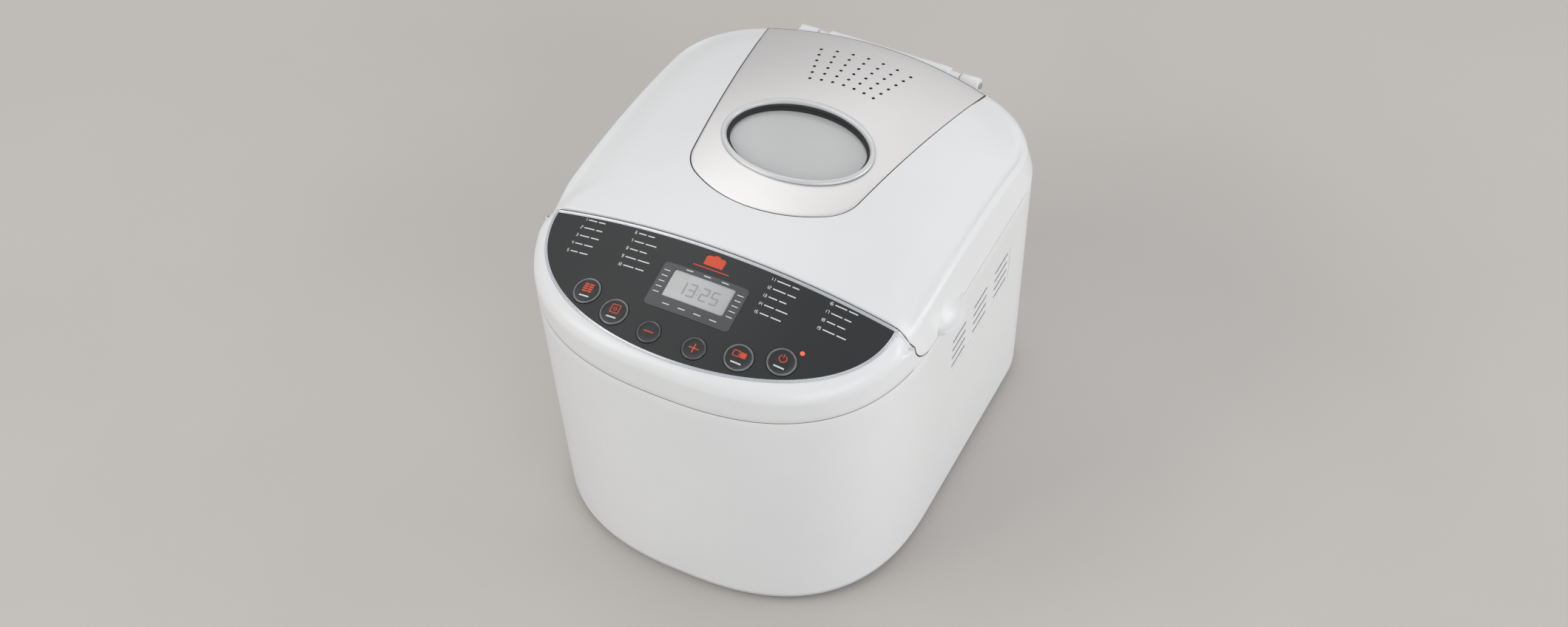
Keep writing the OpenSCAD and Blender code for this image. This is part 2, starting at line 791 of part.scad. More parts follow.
module chamber_deck() {
    color(grey) difference() {
        intersection() {
            slab(plan(wall + 0.5, wall + 0.5), deck_top - deck_t, deck_top);
            translate([-big / 2, lid_front + 0.4, 0]) cube(big);
        }
        slab(rounded(chamber_hx + chamber_t + 0.3, chamber_hy + chamber_t + 0.3, chamber_r, chamber_cy),
            0, big);
    }
}

module baking_chamber() {
    out = chamber_t;
    color(steel) difference() {
        union() {
            slab(rounded(chamber_hx + out, chamber_hy + out, chamber_r + out, chamber_cy),
                chamber_floor_z - out, deck_top + out);
            slab(rounded(chamber_hx + 8, chamber_hy + 8, chamber_r + 8, chamber_cy), deck_top, deck_top + out);
        }
        slab(rounded(chamber_hx, chamber_hy, chamber_r, chamber_cy), chamber_floor_z, big);
        translate([0, chamber_cy, 0]) cylinder(r = bush_r, h = 100);
        for (s = [-1, 1]) translate([s * terminal_x, 0, element_z])
            rod_y(insulator_r + 0.05, chamber_y0 - 10, chamber_y0 + 10);
        translate([sensor_x, 0, sensor_z]) rod_y(sensor_r + 0.05, chamber_y0 - 10, chamber_y0 + 10);
    }
}

module chamber_posts() {
    color(grey) for (s = [-1, 1], y = [-88, 78]) translate([s * (chamber_hx - 18), chamber_cy + y, plate_top])
        cylinder(r = 5, h = chamber_floor_z - chamber_t - plate_top);
}

module pan_seat() {
    color(steel) translate([0, chamber_cy, chamber_floor_z]) difference() {
        union() {
            cylinder(r = seat_r + 4, h = pan_up - 2);
            for (a = [45:90:315]) rotate([0, 0, a]) translate([seat_r + 1, -6, 0])
                cube([2.5, 12, pan_up - 0.6]);
        }
        translate([0, 0, pan_up - 4]) cylinder(r = seat_r - 1.6, h = 30);
        translate([0, 0, -1]) cylinder(r = seat_r - 6, h = 30);
    }
}

module shaft_bush() {
    color(brass) translate([0, chamber_cy, 0]) difference() {
        union() {
            translate([0, 0, bush_z]) cylinder(r = bush_r - 0.05, h = chamber_floor_z + 0.8 - bush_z);
            translate([0, 0, chamber_floor_z - chamber_t - 3]) cylinder(r = bush_r + 6, h = 3);
        }
        cylinder(r = shaft_r + run_gap, h = 200);
    }
}

module quarter(r, a) {
    rotate([0, 0, a]) rotate_extrude(angle = 90) translate([r, 0]) circle(r = element_r, $fn = 32);
}

module heating_element() {
    y0 = chamber_cy - element_hy;
    y1 = chamber_cy + element_hy;
    tip = terminal_x + terminal_bend;
    color(grey) translate([0, 0, element_z]) {
        for (s = [-1, 1]) {
            translate([s * element_hx, 0, 0]) rod_y(element_r, y0 + element_bend, y1 - element_bend, $fn = 32);
            translate([0, y0, 0]) rod_x(element_r, s > 0 ? tip : element_bend - element_hx,
                s > 0 ? element_hx - element_bend : -tip, $fn = 32);
            translate([s * terminal_x, 0, 0]) rod_y(element_r, y0 - 24, y0 - terminal_bend, $fn = 32);
        }
        translate([0, y1, 0]) rod_x(element_r, element_bend - element_hx, element_hx - element_bend, $fn = 32);
        translate([element_hx - element_bend, y1 - element_bend, 0]) quarter(element_bend, 0);
        translate([element_bend - element_hx, y1 - element_bend, 0]) quarter(element_bend, 90);
        translate([element_bend - element_hx, y0 + element_bend, 0]) quarter(element_bend, 180);
        translate([element_hx - element_bend, y0 + element_bend, 0]) quarter(element_bend, 270);
        translate([tip, y0 - terminal_bend, 0]) quarter(terminal_bend, 90);
        translate([-tip, y0 - terminal_bend, 0]) quarter(terminal_bend, 0);
    }
}

module element_clips() {
    color(steel) {
        for (s = [-1, 1]) translate([s * element_hx, chamber_cy, 0]) element_clip();
        translate([0, chamber_cy + element_hy, 0]) rotate([0, 0, 90]) element_clip();
    }
}

module element_clip() {
    difference() {
        union() {
            translate([0, 0, element_z]) rod_y(element_r + 1.6, -4, 4);
            translate([-1.2, -4, chamber_floor_z]) cube([2.4, 8, element_up]);
            translate([-6, -4, chamber_floor_z]) cube([12, 8, 1.6]);
        }
        translate([0, 0, element_z]) rod_y(element_r + 0.1, -9, 9);
    }
}

module element_insulators() {
    color(ceramic) for (s = [-1, 1]) translate([s * terminal_x, 0, element_z]) difference() {
        union() {
            rod_y(insulator_r, chamber_y0 - 6, chamber_y0 + 0.4);
            rod_y(insulator_r + 2, chamber_y0 - 6, chamber_y0 - chamber_t);
        }
        rod_y(element_r + 0.1, chamber_y0 - 20, chamber_y0 + 20);
    }
}

module temperature_sensor() {
    color(steel) translate([sensor_x, 0, sensor_z]) {
        rod_y(sensor_r, chamber_y0 - 11, chamber_y0 + 7);
        rod_y(sensor_r + 3.5, chamber_y0 - chamber_t - 3, chamber_y0 - chamber_t);
    }
}

module thermal_cutout() {
    color(ceramic) translate([40, chamber_y0 - chamber_t, 96]) {
        translate([-11, -1.5, -6]) cube([22, 1.5, 12]);
        rod_y(5, -6, -1);
    }
}

// ---- drive ----

module motor() {
    color(steel) translate([motor_x, motor_y, bracket_z + bracket_t]) difference() {
        union() {
            cylinder(r = motor_r - 6, h = motor_h);
            translate([0, 0, 12]) cylinder(r = motor_r, h = motor_h - 26);
            cylinder(r = 9, h = motor_h + 4);
        }
        translate([0, 0, -1]) cylinder(r = motor_shaft_r + run_gap, h = motor_h + 2);
    }
}

module motor_bracket() {
    color(steel) difference() {
        union() {
            translate([motor_x - 40, motor_y - 14, bracket_z]) cube([80, 52, bracket_t]);
            for (p = bracket_legs) translate([motor_x + p.x, motor_y + p.y, plate_top])
                cylinder(r = 4, h = bracket_z - plate_top + 1);
        }
        translate([motor_x, motor_y, 0]) cylinder(r = 8, h = 100);
    }
}

module motor_capacitor() {
    color(grey) translate([half_w - 44, motor_y + 45, plate_top]) {
        cylinder(r = 11, h = 44);
        translate([-4, -1, 0]) cube([2, 2, 50]);
        translate([2, -1, 0]) cube([2, 2, 50]);
    }
}

module pulley(r, bore) {
    difference() {
        union() {
            cylinder(r = r - 0.3, h = pulley_h);
            cylinder(r = r + belt_t + 0.6, h = 1.7);
            translate([0, 0, pulley_h - 1.7]) cylinder(r = r + belt_t + 0.6, h = 1.7);
        }
        translate([0, 0, -1]) cylinder(r = bore, h = pulley_h + 2);
        if (r > 30) for (a = [0:60:300]) rotate([0, 0, a]) translate([r * 0.58, 0, -1]) cylinder(r = 7, h = 30);
    }
}

module belt_run(g) {
    hull() {
        translate([0, chamber_cy]) circle(r = big_pulley_r + g);
        translate([motor_x, motor_y]) circle(r = small_pulley_r + g);
    }
}

module drive_belt() {
    color(black) translate([0, 0, belt_z]) linear_extrude(belt_w) difference() {
        belt_run(belt_t);
        belt_run(0);
    }
}

module motor_shaft() {
    color(steel) translate([motor_x, motor_y, pulley_z - 2])
        cylinder(r = motor_shaft_r, h = bracket_z + bracket_t + motor_h - pulley_z);
}

module small_pulley() {
    color(grey) translate([motor_x, motor_y, pulley_z]) pulley(small_pulley_r, motor_shaft_r);
}
module large_pulley() { color(grey) translate([0, chamber_cy, pulley_z]) pulley(big_pulley_r, shaft_r); }

module drive_shaft() {
    color(steel) translate([0, chamber_cy, pulley_z - 2])
        cylinder(r = shaft_r, h = coupling_z + 3 - pulley_z + 2);
}

module drive_coupling() {
    color(steel) translate([0, chamber_cy, coupling_z]) difference() {
        union() {
            translate([0, 0, 0.6]) cylinder(r = 12, h = 2.4);
            for (s = [-1, 1]) translate([s * 8, 0, 0]) translate([0, 0, 2]) cylinder(r = 3, h = pan_up - 4);
        }
        cylinder(r = shaft_r, h = 20, center = true);
    }
}

// ---- bread pan ----

module bread_pan() {
    bx = pan_hx - pan_taper;
    by = pan_hy - pan_taper;
    color(dark) difference() {
        union() {
            hull() {
                slab(rounded(bx, by, pan_r, chamber_cy), pan_z0, pan_z0 + 0.1);
                slab(rounded(pan_hx, pan_hy, pan_r, chamber_cy), pan_z1 - 0.1, pan_z1);
            }
            slab(rounded(pan_hx + pan_rim_w, pan_hy + pan_rim_w, pan_r + pan_rim_w, chamber_cy),
                pan_z1 - 2.5, pan_z1);
            for (s = [-1, 1]) translate([-9,
                chamber_cy + s * (pan_hy + pan_rim_w - ear_plate_t / 2) - ear_plate_t / 2, pan_z1 - 1])
                cube([18, ear_plate_t, bail_z - pan_z1 + 7]);
        }
        difference() {
            hull() {
                slab(rounded(bx - pan_t, by - pan_t, pan_r - pan_t, chamber_cy),
                    pan_z0 + pan_t, pan_z0 + pan_t + 0.1);
                slab(rounded(pan_hx - pan_t, pan_hy - pan_t, pan_r - pan_t, chamber_cy),
                    pan_z1, pan_z1 + 0.1);
            }
            translate([0, chamber_cy, pan_z0]) cylinder(r = 9, h = pan_boss_h);
        }
        translate([0, chamber_cy, 0]) cylinder(r = shaft_r + run_gap, h = 100);
        translate([0, 0, bail_z]) rod_y(bail_r + run_gap, chamber_cy - 200, chamber_cy + 200);
    }
}

module pan_foot_ring() {
    color(steel) translate([0, chamber_cy, pan_z0 - 4]) difference() {
        cylinder(r = seat_r - 2, h = 4);
        translate([0, 0, -1]) cylinder(r = seat_r - 5, h = 6);
    }
}

module bail_handle() {
    y = bail_y;
    color(steel) translate([0, chamber_cy, bail_z]) for (s = [-1, 1]) {
        rod_y(bail_r, s > 0 ? pan_hy + pan_rim_w - 3 : -y, s > 0 ? y : -pan_hy - pan_rim_w + 3, $fn = 32);
        translate([0, s * y, 0]) rod_x(bail_r, 0, bail_reach, $fn = 32);
        translate([0, s * y, 0]) sphere(r = bail_r, $fn = 32);
        translate([bail_reach, s * y, 0]) sphere(r = bail_r, $fn = 32);
        translate([bail_reach, 0, 0]) rod_y(bail_r, -y, y, $fn = 32);
    }
}

module bail_grip() {
    color(black) translate([bail_reach, chamber_cy, bail_z]) difference() {
        rod_y(6, -32, 32);
        rod_y(bail_r + run_gap, -40, 40);
    }
}

module pan_shaft() {
    color(steel) translate([0, chamber_cy, pan_z0 - 3.8]) cylinder(r = shaft_r, h = 25.4);
}

module pan_coupling() {
    color(steel) translate([0, chamber_cy, pan_z0 - 3.8]) difference() {
        union() {
            translate([-3, -11, 0]) cube([6, 22, 3.2]);
            cylinder(r = 4.8, h = 3.2);
        }
        translate([0, 0, -1]) cylinder(r = shaft_r, h = 20);
    }
}

module kneading_paddle() {
    z = pan_z0 + pan_boss_h + 0.6;
    color(dark) translate([0, chamber_cy, z]) difference() {
        union() {
            cylinder(r = 9.5, h = 17);
            hull() {
                translate([8, 0, 0]) cylinder(r = 4, h = 27, $fn = 32);
                translate([42, 0, 0]) cylinder(r = 2, h = 12, $fn = 32);
            }
        }
        translate([0, 0, -1]) cylinder(r = shaft_r, h = 17);
    }
}

// ---- lid ----

module lid_shell() {
    color(white) difference() {
        union() {
            difference() {
                lid_solid(0);
                lid_solid(lid_wall);
            }
            intersection() {
                lid_solid(1);
                for (p = liner_spots) translate([p.x, p.y, liner_z + liner_t]) cylinder(r = 3.8, h = 80);
            }
            for (s = [-1, 1]) intersection() {
                translate([s * half_w, tab_y, 0])
                    slab(oval(tab_out, tab_len / 2), lid_z0 + 0.5, lid_z0 + 0.5 + tab_t);
                translate([s * (half_w - 1.5 + 20) - 20, tab_y - 50, 0]) cube([40, 100, big]);
            }
            translate([0, hinge_y, hinge_z]) rod_x(barrel_r, -barrel_hl, barrel_hl);
            translate([0, hinge_y, hinge_z]) rod_x(sleeve_r, -ear_x + 0.5, ear_x - 0.5);
        }
        // Pocket for the steel insert
        difference() {
            slab(insert_shape(pocket_gap), lid_z0, crown_z + 10);
            under_crown(insert_t + 0.1);
        }
        translate([0, window_y, 0]) slab(oval(opening_rx, opening_ry), lid_z0, crown_z + 10);
        slab(concat(arc(0, vent_cy, vent_out, 90 - vent_half, 90 + vent_half, 12),
            arc(0, vent_cy, vent_r0 - 5, 90 + vent_half, 90 - vent_half, 12)), lid_z0, crown_z + 10);
        for (s = [-1, 1]) {
            translate([0, hinge_y, hinge_z])
                rod_x(hinge_pin_r, s > 0 ? pin_in : -ear_x, s > 0 ? ear_x : -pin_in);
            translate([0, hinge_y, hinge_z]) rod_x(barrel_r + 0.5, s * ear_mid - ear_w / 2 - 0.5,
                s * ear_mid + ear_w / 2 + 0.5);
        }
        for (p = liner_spots) translate([p.x, p.y, 0]) cylinder(r = 1.55, h = liner_z + 12);
    }
}

module lid_liner() {
    g = liner_grow;
    color(steel) difference() {
        union() {
            intersection() {
                slab(rounded(chamber_hx + g + liner_t, chamber_hy + g + liner_t, chamber_r + g + liner_t,
                    chamber_cy),
                    liner_z, crown_z);
                under_crown(liner_drop);
            }
            intersection() {
                slab(plan(lid_wall + 0.6, lid_wall + 0.6), liner_z, liner_z + liner_t);
                translate([-half_w + lid_corner_w + lid_wall + 0.5, lid_front + lid_wall + 0.5, 0])
                    cube([2 * (half_w - lid_corner_w - lid_wall - 0.5), big, big]);
            }
        }
        intersection() {
            slab(rounded(chamber_hx + g, chamber_hy + g, chamber_r + g, chamber_cy), liner_z - 1, crown_z);
            under_crown(liner_drop + liner_t);
        }
        translate([0, window_y, 0]) slab(oval(opening_rx - 1, opening_ry - 1), lid_z0, crown_z + 10);
        for (k = [-2:2]) translate([k * 18 - 2, vent_cy + vent_r0, liner_z + 5]) cube([4, 36, 80]);
        for (p = liner_spots) translate([p.x, p.y, 0]) cylinder(r = 1.7, h = big);
    }
}

module lid_seal() {
    g = liner_grow;
    color(grey) tub(rounded(chamber_hx + g + 3.5, chamber_hy + g + 3.5, chamber_r + g + 3.5, chamber_cy),
        rounded(chamber_hx + g + 0.5, chamber_hy + g + 0.5, chamber_r + g + 0.5, chamber_cy),
        deck_top + chamber_t + 0.5, liner_z);
}

module lid_insert() {
    color(steel) difference() {
        intersection() {
            slab(insert_shape(0), lid_z0, crown_z + 10);
            under_crown(0);
        }
        under_crown(insert_t);
        translate([0, window_y, 0]) slab(oval(opening_rx, opening_ry), lid_z0, crown_z + 10);
        for (i = [0:vent_rows - 1], j = [0:vent_cols - 1])
            translate([0, vent_cy, 0]) rotate([0, 0, (j - (vent_cols - 1) / 2) * vent_step])
                translate([0, vent_r0 + i * vent_pitch, lid_z0]) cylinder(d = vent_hole_d, h = 80, $fn = 24);
    }
}

// The window's own frame: origin on the lid's surface at the window's centre, +Z along the surface normal
module at_window() {
    translate([0, window_y, crown_z - pow(window_y - crown_y, 2) / (2 * crown_ry)])
        rotate([-window_slope, 0, 0]) children();
}

module window_ring() {
    inner = opening_rx - neck_t;
    color(white) difference() {
        union() {
            difference() {
                intersection() {
                    translate([0, window_y, 0]) slab(oval(window_rx, window_ry), lid_z0, crown_z + 10);
                    under_crown(-ring_up);
                }
                under_crown(-0.1);
            }
            intersection() {
                translate([0, window_y, 0])
                    slab(oval(opening_rx - 0.2, opening_ry - 0.2), lid_z0, crown_z + 10);
                under_crown(-ring_up);
                at_window() translate([-80, -80, band_t - glass_drop]) cube([160, 160, 60]);
            }
        }
        translate([0, window_y, 0]) slab(oval(inner, opening_ry - neck_t), lid_z0 - 1, crown_z + 20);
    }
}

module window_gasket() {
    color(black) {
        intersection() {
            translate([0, window_y, 0]) tub(oval(opening_rx - 0.2, opening_ry - 0.2),
                oval(opening_rx - neck_t - 0.5, opening_ry - neck_t - 0.5), lid_z0, crown_z + 10);
            at_window() translate([-80, -80, -glass_drop]) cube([160, 160, band_t]);
        }
        at_window() tub(oval(opening_rx + 5, opening_ry + 5), oval(opening_rx - 1, opening_ry - 1),
            0.1 - liner_drop, -glass_drop - glass_t);
    }
}

module window_glass() {
    color([0.75, 0.77, 0.78]) intersection() {
        translate([0, window_y, 0]) slab(oval(opening_rx + 3, opening_ry + 3), lid_z0, crown_z + 10);
        at_window() translate([-80, -80, -glass_drop - glass_t]) cube([160, 160, glass_t]);
    }
}

module hinge_pins() {
    color(steel) translate([0, hinge_y, hinge_z]) for (s = [-1, 1])
        rod_x(hinge_pin_r, s > 0 ? pin_in : -ear_x - ear_w - 1, s > 0 ? ear_x + ear_w + 1 : -pin_in);
}

module liner_screws() {
    color(steel) for (p = liner_spots) translate([p.x, p.y, 0]) {
        translate([0, 0, liner_z - 2]) cylinder(r = 3, h = 2);
        translate([0, 0, liner_z - 1]) cylinder(r = 1.5, h = 11);
    }
}

outer_housing();
base_plate();
feet();
base_screws();
hinge_ears();
cord_gland();
control_shroud();
panel_bezel();
control_panel();
display_frame();
display_screen();
control_board();
tact_switches();
status_light();
power_board();
chamber_deck();
baking_chamber();
chamber_posts();
pan_seat();
shaft_bush();
heating_element();
element_clips();
element_insulators();
temperature_sensor();
thermal_cutout();
motor();
motor_bracket();
motor_capacitor();
drive_belt();
motor_shaft();
small_pulley();
drive_shaft();
large_pulley();
drive_coupling();
bread_pan();
pan_foot_ring();
bail_handle();
bail_grip();
pan_shaft();
pan_coupling();
kneading_paddle();
lid_shell();
lid_liner();
lid_seal();
lid_insert();
window_ring();
window_gasket();
window_glass();
hinge_pins();
liner_screws();
menu_button();
loaf_button();
minus_button();
plus_button();
crust_button();
start_button();
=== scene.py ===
import json
import math
import random

import bpy
from mathutils import Matrix, Vector


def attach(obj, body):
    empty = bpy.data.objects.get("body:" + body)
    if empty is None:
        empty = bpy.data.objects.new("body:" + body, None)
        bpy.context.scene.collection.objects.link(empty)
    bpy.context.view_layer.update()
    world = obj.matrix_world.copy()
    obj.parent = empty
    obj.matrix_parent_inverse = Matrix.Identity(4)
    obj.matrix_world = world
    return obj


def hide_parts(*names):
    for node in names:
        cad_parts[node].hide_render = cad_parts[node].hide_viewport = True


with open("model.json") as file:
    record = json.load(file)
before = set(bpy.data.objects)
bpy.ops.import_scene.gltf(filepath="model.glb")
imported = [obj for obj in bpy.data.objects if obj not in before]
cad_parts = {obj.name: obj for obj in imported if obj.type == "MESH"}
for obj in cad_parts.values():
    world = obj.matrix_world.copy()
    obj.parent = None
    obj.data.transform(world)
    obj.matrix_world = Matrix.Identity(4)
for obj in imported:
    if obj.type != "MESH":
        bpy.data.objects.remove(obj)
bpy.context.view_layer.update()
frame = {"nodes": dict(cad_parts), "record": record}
MM = 0.001
random.seed(7)

# %% [markdown]
# Sizes of the real machine in millimetres. They follow the CAD frame, so that every smooth piece lies on the
# solid that it stands for. One table would also do, but names read better where they are used.
# %% Sizes
HALF_W = 140.0
PARTING_Z = 200.0
DRAFT = math.tan(math.radians(1.6))
BOW_Y, BOW_D, BOW_N = -50.0, 125.0, 2.5
CORNER_R, REAR_R, REAR_Y = 64.0, 344.0, 167.0
CORNER_X = HALF_W - CORNER_R
REAR_CY = REAR_Y - REAR_R
CORNER_A = math.degrees(math.acos(CORNER_X / (REAR_R - CORNER_R)))
CORNER_Y = REAR_CY + (REAR_R - CORNER_R) * math.sin(math.radians(CORNER_A))
LID_FRONT, LID_Z0, LID_WALL = -82.5, 200.4, 2.8
CROWN_Z, CROWN_Y, CROWN_RX, CROWN_RY = 255.5, -7.0, 507.0, 647.0
HINGE_Y, HINGE_Z = 168.0, 214.0
PANEL_Y, TILT = -86.0, math.radians(12.9)
PANEL_Z = CROWN_Z - (PANEL_Y - CROWN_Y) ** 2 / (2 * CROWN_RY) - 1.6
PANEL_HW, PANEL_D = 125.0, 80.5
SHROUD_BACK = LID_FRONT - 1.0
WINDOW_Y = 25.0
print("corner", round(CORNER_Y, 2), round(CORNER_A, 2), "panel z", round(PANEL_Z, 2))


def smooth(a, b, v):
    t = min(1.0, max(0.0, (v - a) / (b - a)))
    return t * t * (3 - 2 * t)


def arc(cx, cy, r, a0, a1, n, first=0):
    return [(cx + r * math.cos(math.radians(a0 + (a1 - a0) * i / n)),
             cy + r * math.sin(math.radians(a0 + (a1 - a0) * i / n))) for i in range(first, n + 1)]


def bend(v):
    return math.copysign(abs(v) ** (2 / BOW_N), v)


def rear_half(inset):
    pts = arc(CORNER_X, CORNER_Y, CORNER_R - inset, 0, CORNER_A, 28)
    pts += arc(0, REAR_CY, REAR_R - inset, CORNER_A, 180 - CORNER_A, 40, 1)
    return pts + arc(-CORNER_X, CORNER_Y, CORNER_R - inset, 180 - CORNER_A, 180, 28, 1)


def plan(side, front, n=160):
    pts = []
    for i in range(n + 1):
        a = math.radians(180 + 180 * i / n)
        pts.append(((HALF_W - side) * bend(math.cos(a)), BOW_Y - (BOW_D - front) * abs(bend(math.sin(a)))))
    return pts + rear_half(side)[:-1] + [(-(HALF_W - side), CORNER_Y)]


def side_x(y, inset):
    k = abs(min(0.0, y - BOW_Y)) / (BOW_D - inset)
    return (HALF_W - inset) * max(0.0, 1 - k ** BOW_N) ** (1 / BOW_N)


def dome(x, y):
    return CROWN_Z - CROWN_RX - CROWN_RY + CROWN_RX + math.sqrt(
        (CROWN_RY - CROWN_RX + math.sqrt(CROWN_RX ** 2 - x * x)) ** 2 - (y - CROWN_Y) ** 2)


def deck(x, y):
    zl = math.sqrt(CROWN_RX ** 2 - x * x) - CROWN_RX
    return PANEL_Z + (zl + (y - PANEL_Y) * math.sin(TILT)) / math.cos(TILT)


def roll(d, r):
    return 0.0 if d >= r else r - math.sqrt(max(0.0, r * r - (r - d) ** 2))


print("dome top", round(dome(0, CROWN_Y), 2), "deck front", round(deck(0, -166), 2))

# %% [markdown]
# Materials. The shell is injection-moulded ABS, so it has an even colour with a very fine grain and slight
# changes of gloss. Shared effects are small node groups that give out colours, masks and normals only; the
# surface shader itself stays in each material, which keeps the export whole.
# %% Shader groups


def socket(tree, name, side, kind, value=None):
    s = tree.interface.new_socket(name=name, in_out=side, socket_type=kind)
    if value is not None:
        s.default_value = value


def start_group(name, inputs, outputs):
    t = bpy.data.node_groups.new(name, "ShaderNodeTree")
    for n, k, v in inputs:
        socket(t, n, "INPUT", k, v)
    for n, k in outputs:
        socket(t, n, "OUTPUT", k)
    return t, t.nodes.new("NodeGroupInput"), t.nodes.new("NodeGroupOutput")


def grain_group():
    """Fine moulded or rolled grain: a normal, a gloss mask and a slow tint mask."""
    t, gi, go = start_group("Surface grain", [
        ("Grain Scale", "NodeSocketFloat", 900.0), ("Wave Scale", "NodeSocketFloat", 14.0),
        ("Stretch", "NodeSocketVector", (1.0, 1.0, 1.0)), ("Depth", "NodeSocketFloat", 0.06)],
        [("Normal", "NodeSocketVector"), ("Gloss Mask", "NodeSocketFloat"), ("Tint Mask", "NodeSocketFloat")])
    n, l = t.nodes, t.links
    tc = n.new("ShaderNodeTexCoord")
    st = n.new("ShaderNodeVectorMath")
    st.operation = "MULTIPLY"
    fine, slow, bump = n.new("ShaderNodeTexNoise"), n.new("ShaderNodeTexNoise"), n.new("ShaderNodeBump")
    fine.inputs["Detail"].default_value = 4
    slow.inputs["Detail"].default_value = 3
    bump.inputs["Distance"].default_value = 0.0002
    l.new(tc.outputs["Object"], st.inputs[0])
    l.new(gi.outputs["Stretch"], st.inputs[1])
    l.new(st.outputs[0], fine.inputs["Vector"])
    l.new(tc.outputs["Object"], slow.inputs["Vector"])
    l.new(gi.outputs["Grain Scale"], fine.inputs["Scale"])
    l.new(gi.outputs["Wave Scale"], slow.inputs["Scale"])
    l.new(gi.outputs["Depth"], bump.inputs["Strength"])
    l.new(fine.outputs[0], bump.inputs["Height"])
    l.new(bump.outputs[0], go.inputs["Normal"])
    l.new(fine.outputs[0], go.inputs["Gloss Mask"])
    l.new(slow.outputs[0], go.inputs["Tint Mask"])
    return t


def blend_group():
    """Two colours and two gloss values mixed by the grain's masks."""
    t, gi, go = start_group("Tint and gloss", [
        ("Gloss Mask", "NodeSocketFloat", 0.5), ("Tint Mask", "NodeSocketFloat", 0.5),
        ("Color A", "NodeSocketColor", (0.8, 0.8, 0.8, 1)), ("Color B", "NodeSocketColor", (0.7, 0.7, 0.7, 1)),
        ("Rough Low", "NodeSocketFloat", 0.3), ("Rough High", "NodeSocketFloat", 0.4)],
        [("Color", "NodeSocketColor"), ("Roughness", "NodeSocketFloat")])
    n, l = t.nodes, t.links
    mix, mr = n.new("ShaderNodeMix"), n.new("ShaderNodeMapRange")
    mix.data_type = "RGBA"
    add = n.new("ShaderNodeMath")
    add.operation = "ADD"
    ramp = n.new("ShaderNodeMapRange")
    ramp.inputs["From Min"].default_value = 0.35
    ramp.inputs["From Max"].default_value = 0.65
    l.new(gi.outputs["Tint Mask"], ramp.inputs["Value"])
    l.new(ramp.outputs[0], mix.inputs["Factor"])
    l.new(gi.outputs["Color A"], mix.inputs["A"])
    l.new(gi.outputs["Color B"], mix.inputs["B"])
    l.new(gi.outputs["Gloss Mask"], add.inputs[0])
    l.new(gi.outputs["Tint Mask"], add.inputs[1])
    mr.inputs["From Min"].default_value = 0.7
    mr.inputs["From Max"].default_value = 1.3
    l.new(add.outputs[0], mr.inputs["Value"])
    l.new(gi.outputs["Rough Low"], mr.inputs["To Min"])
    l.new(gi.outputs["Rough High"], mr.inputs["To Max"])
    l.new(mix.outputs["Result"], go.inputs["Color"])
    l.new(mr.outputs[0], go.inputs["Roughness"])
    return t


GRAIN, BLEND = grain_group(), blend_group()
print("groups", GRAIN.name, "|", BLEND.name)

# %% [markdown]
# Each material is one call: two close colours, a gloss range and the grain's scale, stretch and depth.
# Brushed sheet stretches the grain along the brushing; coats and metal stay plain values on the shader.
# %% Materials


def make(name, a, b, rough, grain=(900, 14, 0.06), stretch=(1, 1, 1), metal=0.0, coat=0.0, clear=0.0, glow=None):
    m = bpy.data.materials.new(name)
    m.use_nodes = True
    n, l = m.node_tree.nodes, m.node_tree.links
    p = n["Principled BSDF"]
    g, c = n.new("ShaderNodeGroup"), n.new("ShaderNodeGroup")
    g.node_tree, c.node_tree = GRAIN, BLEND
    g.inputs["Grain Scale"].default_value = grain[0]
    g.inputs["Wave Scale"].default_value = grain[1]
    g.inputs["Depth"].default_value = grain[2]
    g.inputs["Stretch"].default_value = stretch
    c.inputs["Color A"].default_value = (*a, 1)
    c.inputs["Color B"].default_value = (*b, 1)
    c.inputs["Rough Low"].default_value, c.inputs["Rough High"].default_value = rough
    l.new(g.outputs["Gloss Mask"], c.inputs["Gloss Mask"])
    l.new(g.outputs["Tint Mask"], c.inputs["Tint Mask"])
    l.new(c.outputs["Color"], p.inputs["Base Color"])
    l.new(c.outputs["Roughness"], p.inputs["Roughness"])
    l.new(g.outputs["Normal"], p.inputs["Normal"])
    p.inputs["Metallic"].default_value = metal
    p.inputs["Coat Weight"].default_value = coat
    p.inputs["Coat Roughness"].default_value = 0.15
    p.inputs["Transmission Weight"].default_value = clear
    if glow:
        p.inputs["Emission Color"].default_value = (*glow, 1)
        p.inputs["Emission Strength"].default_value = 0.6
    return m


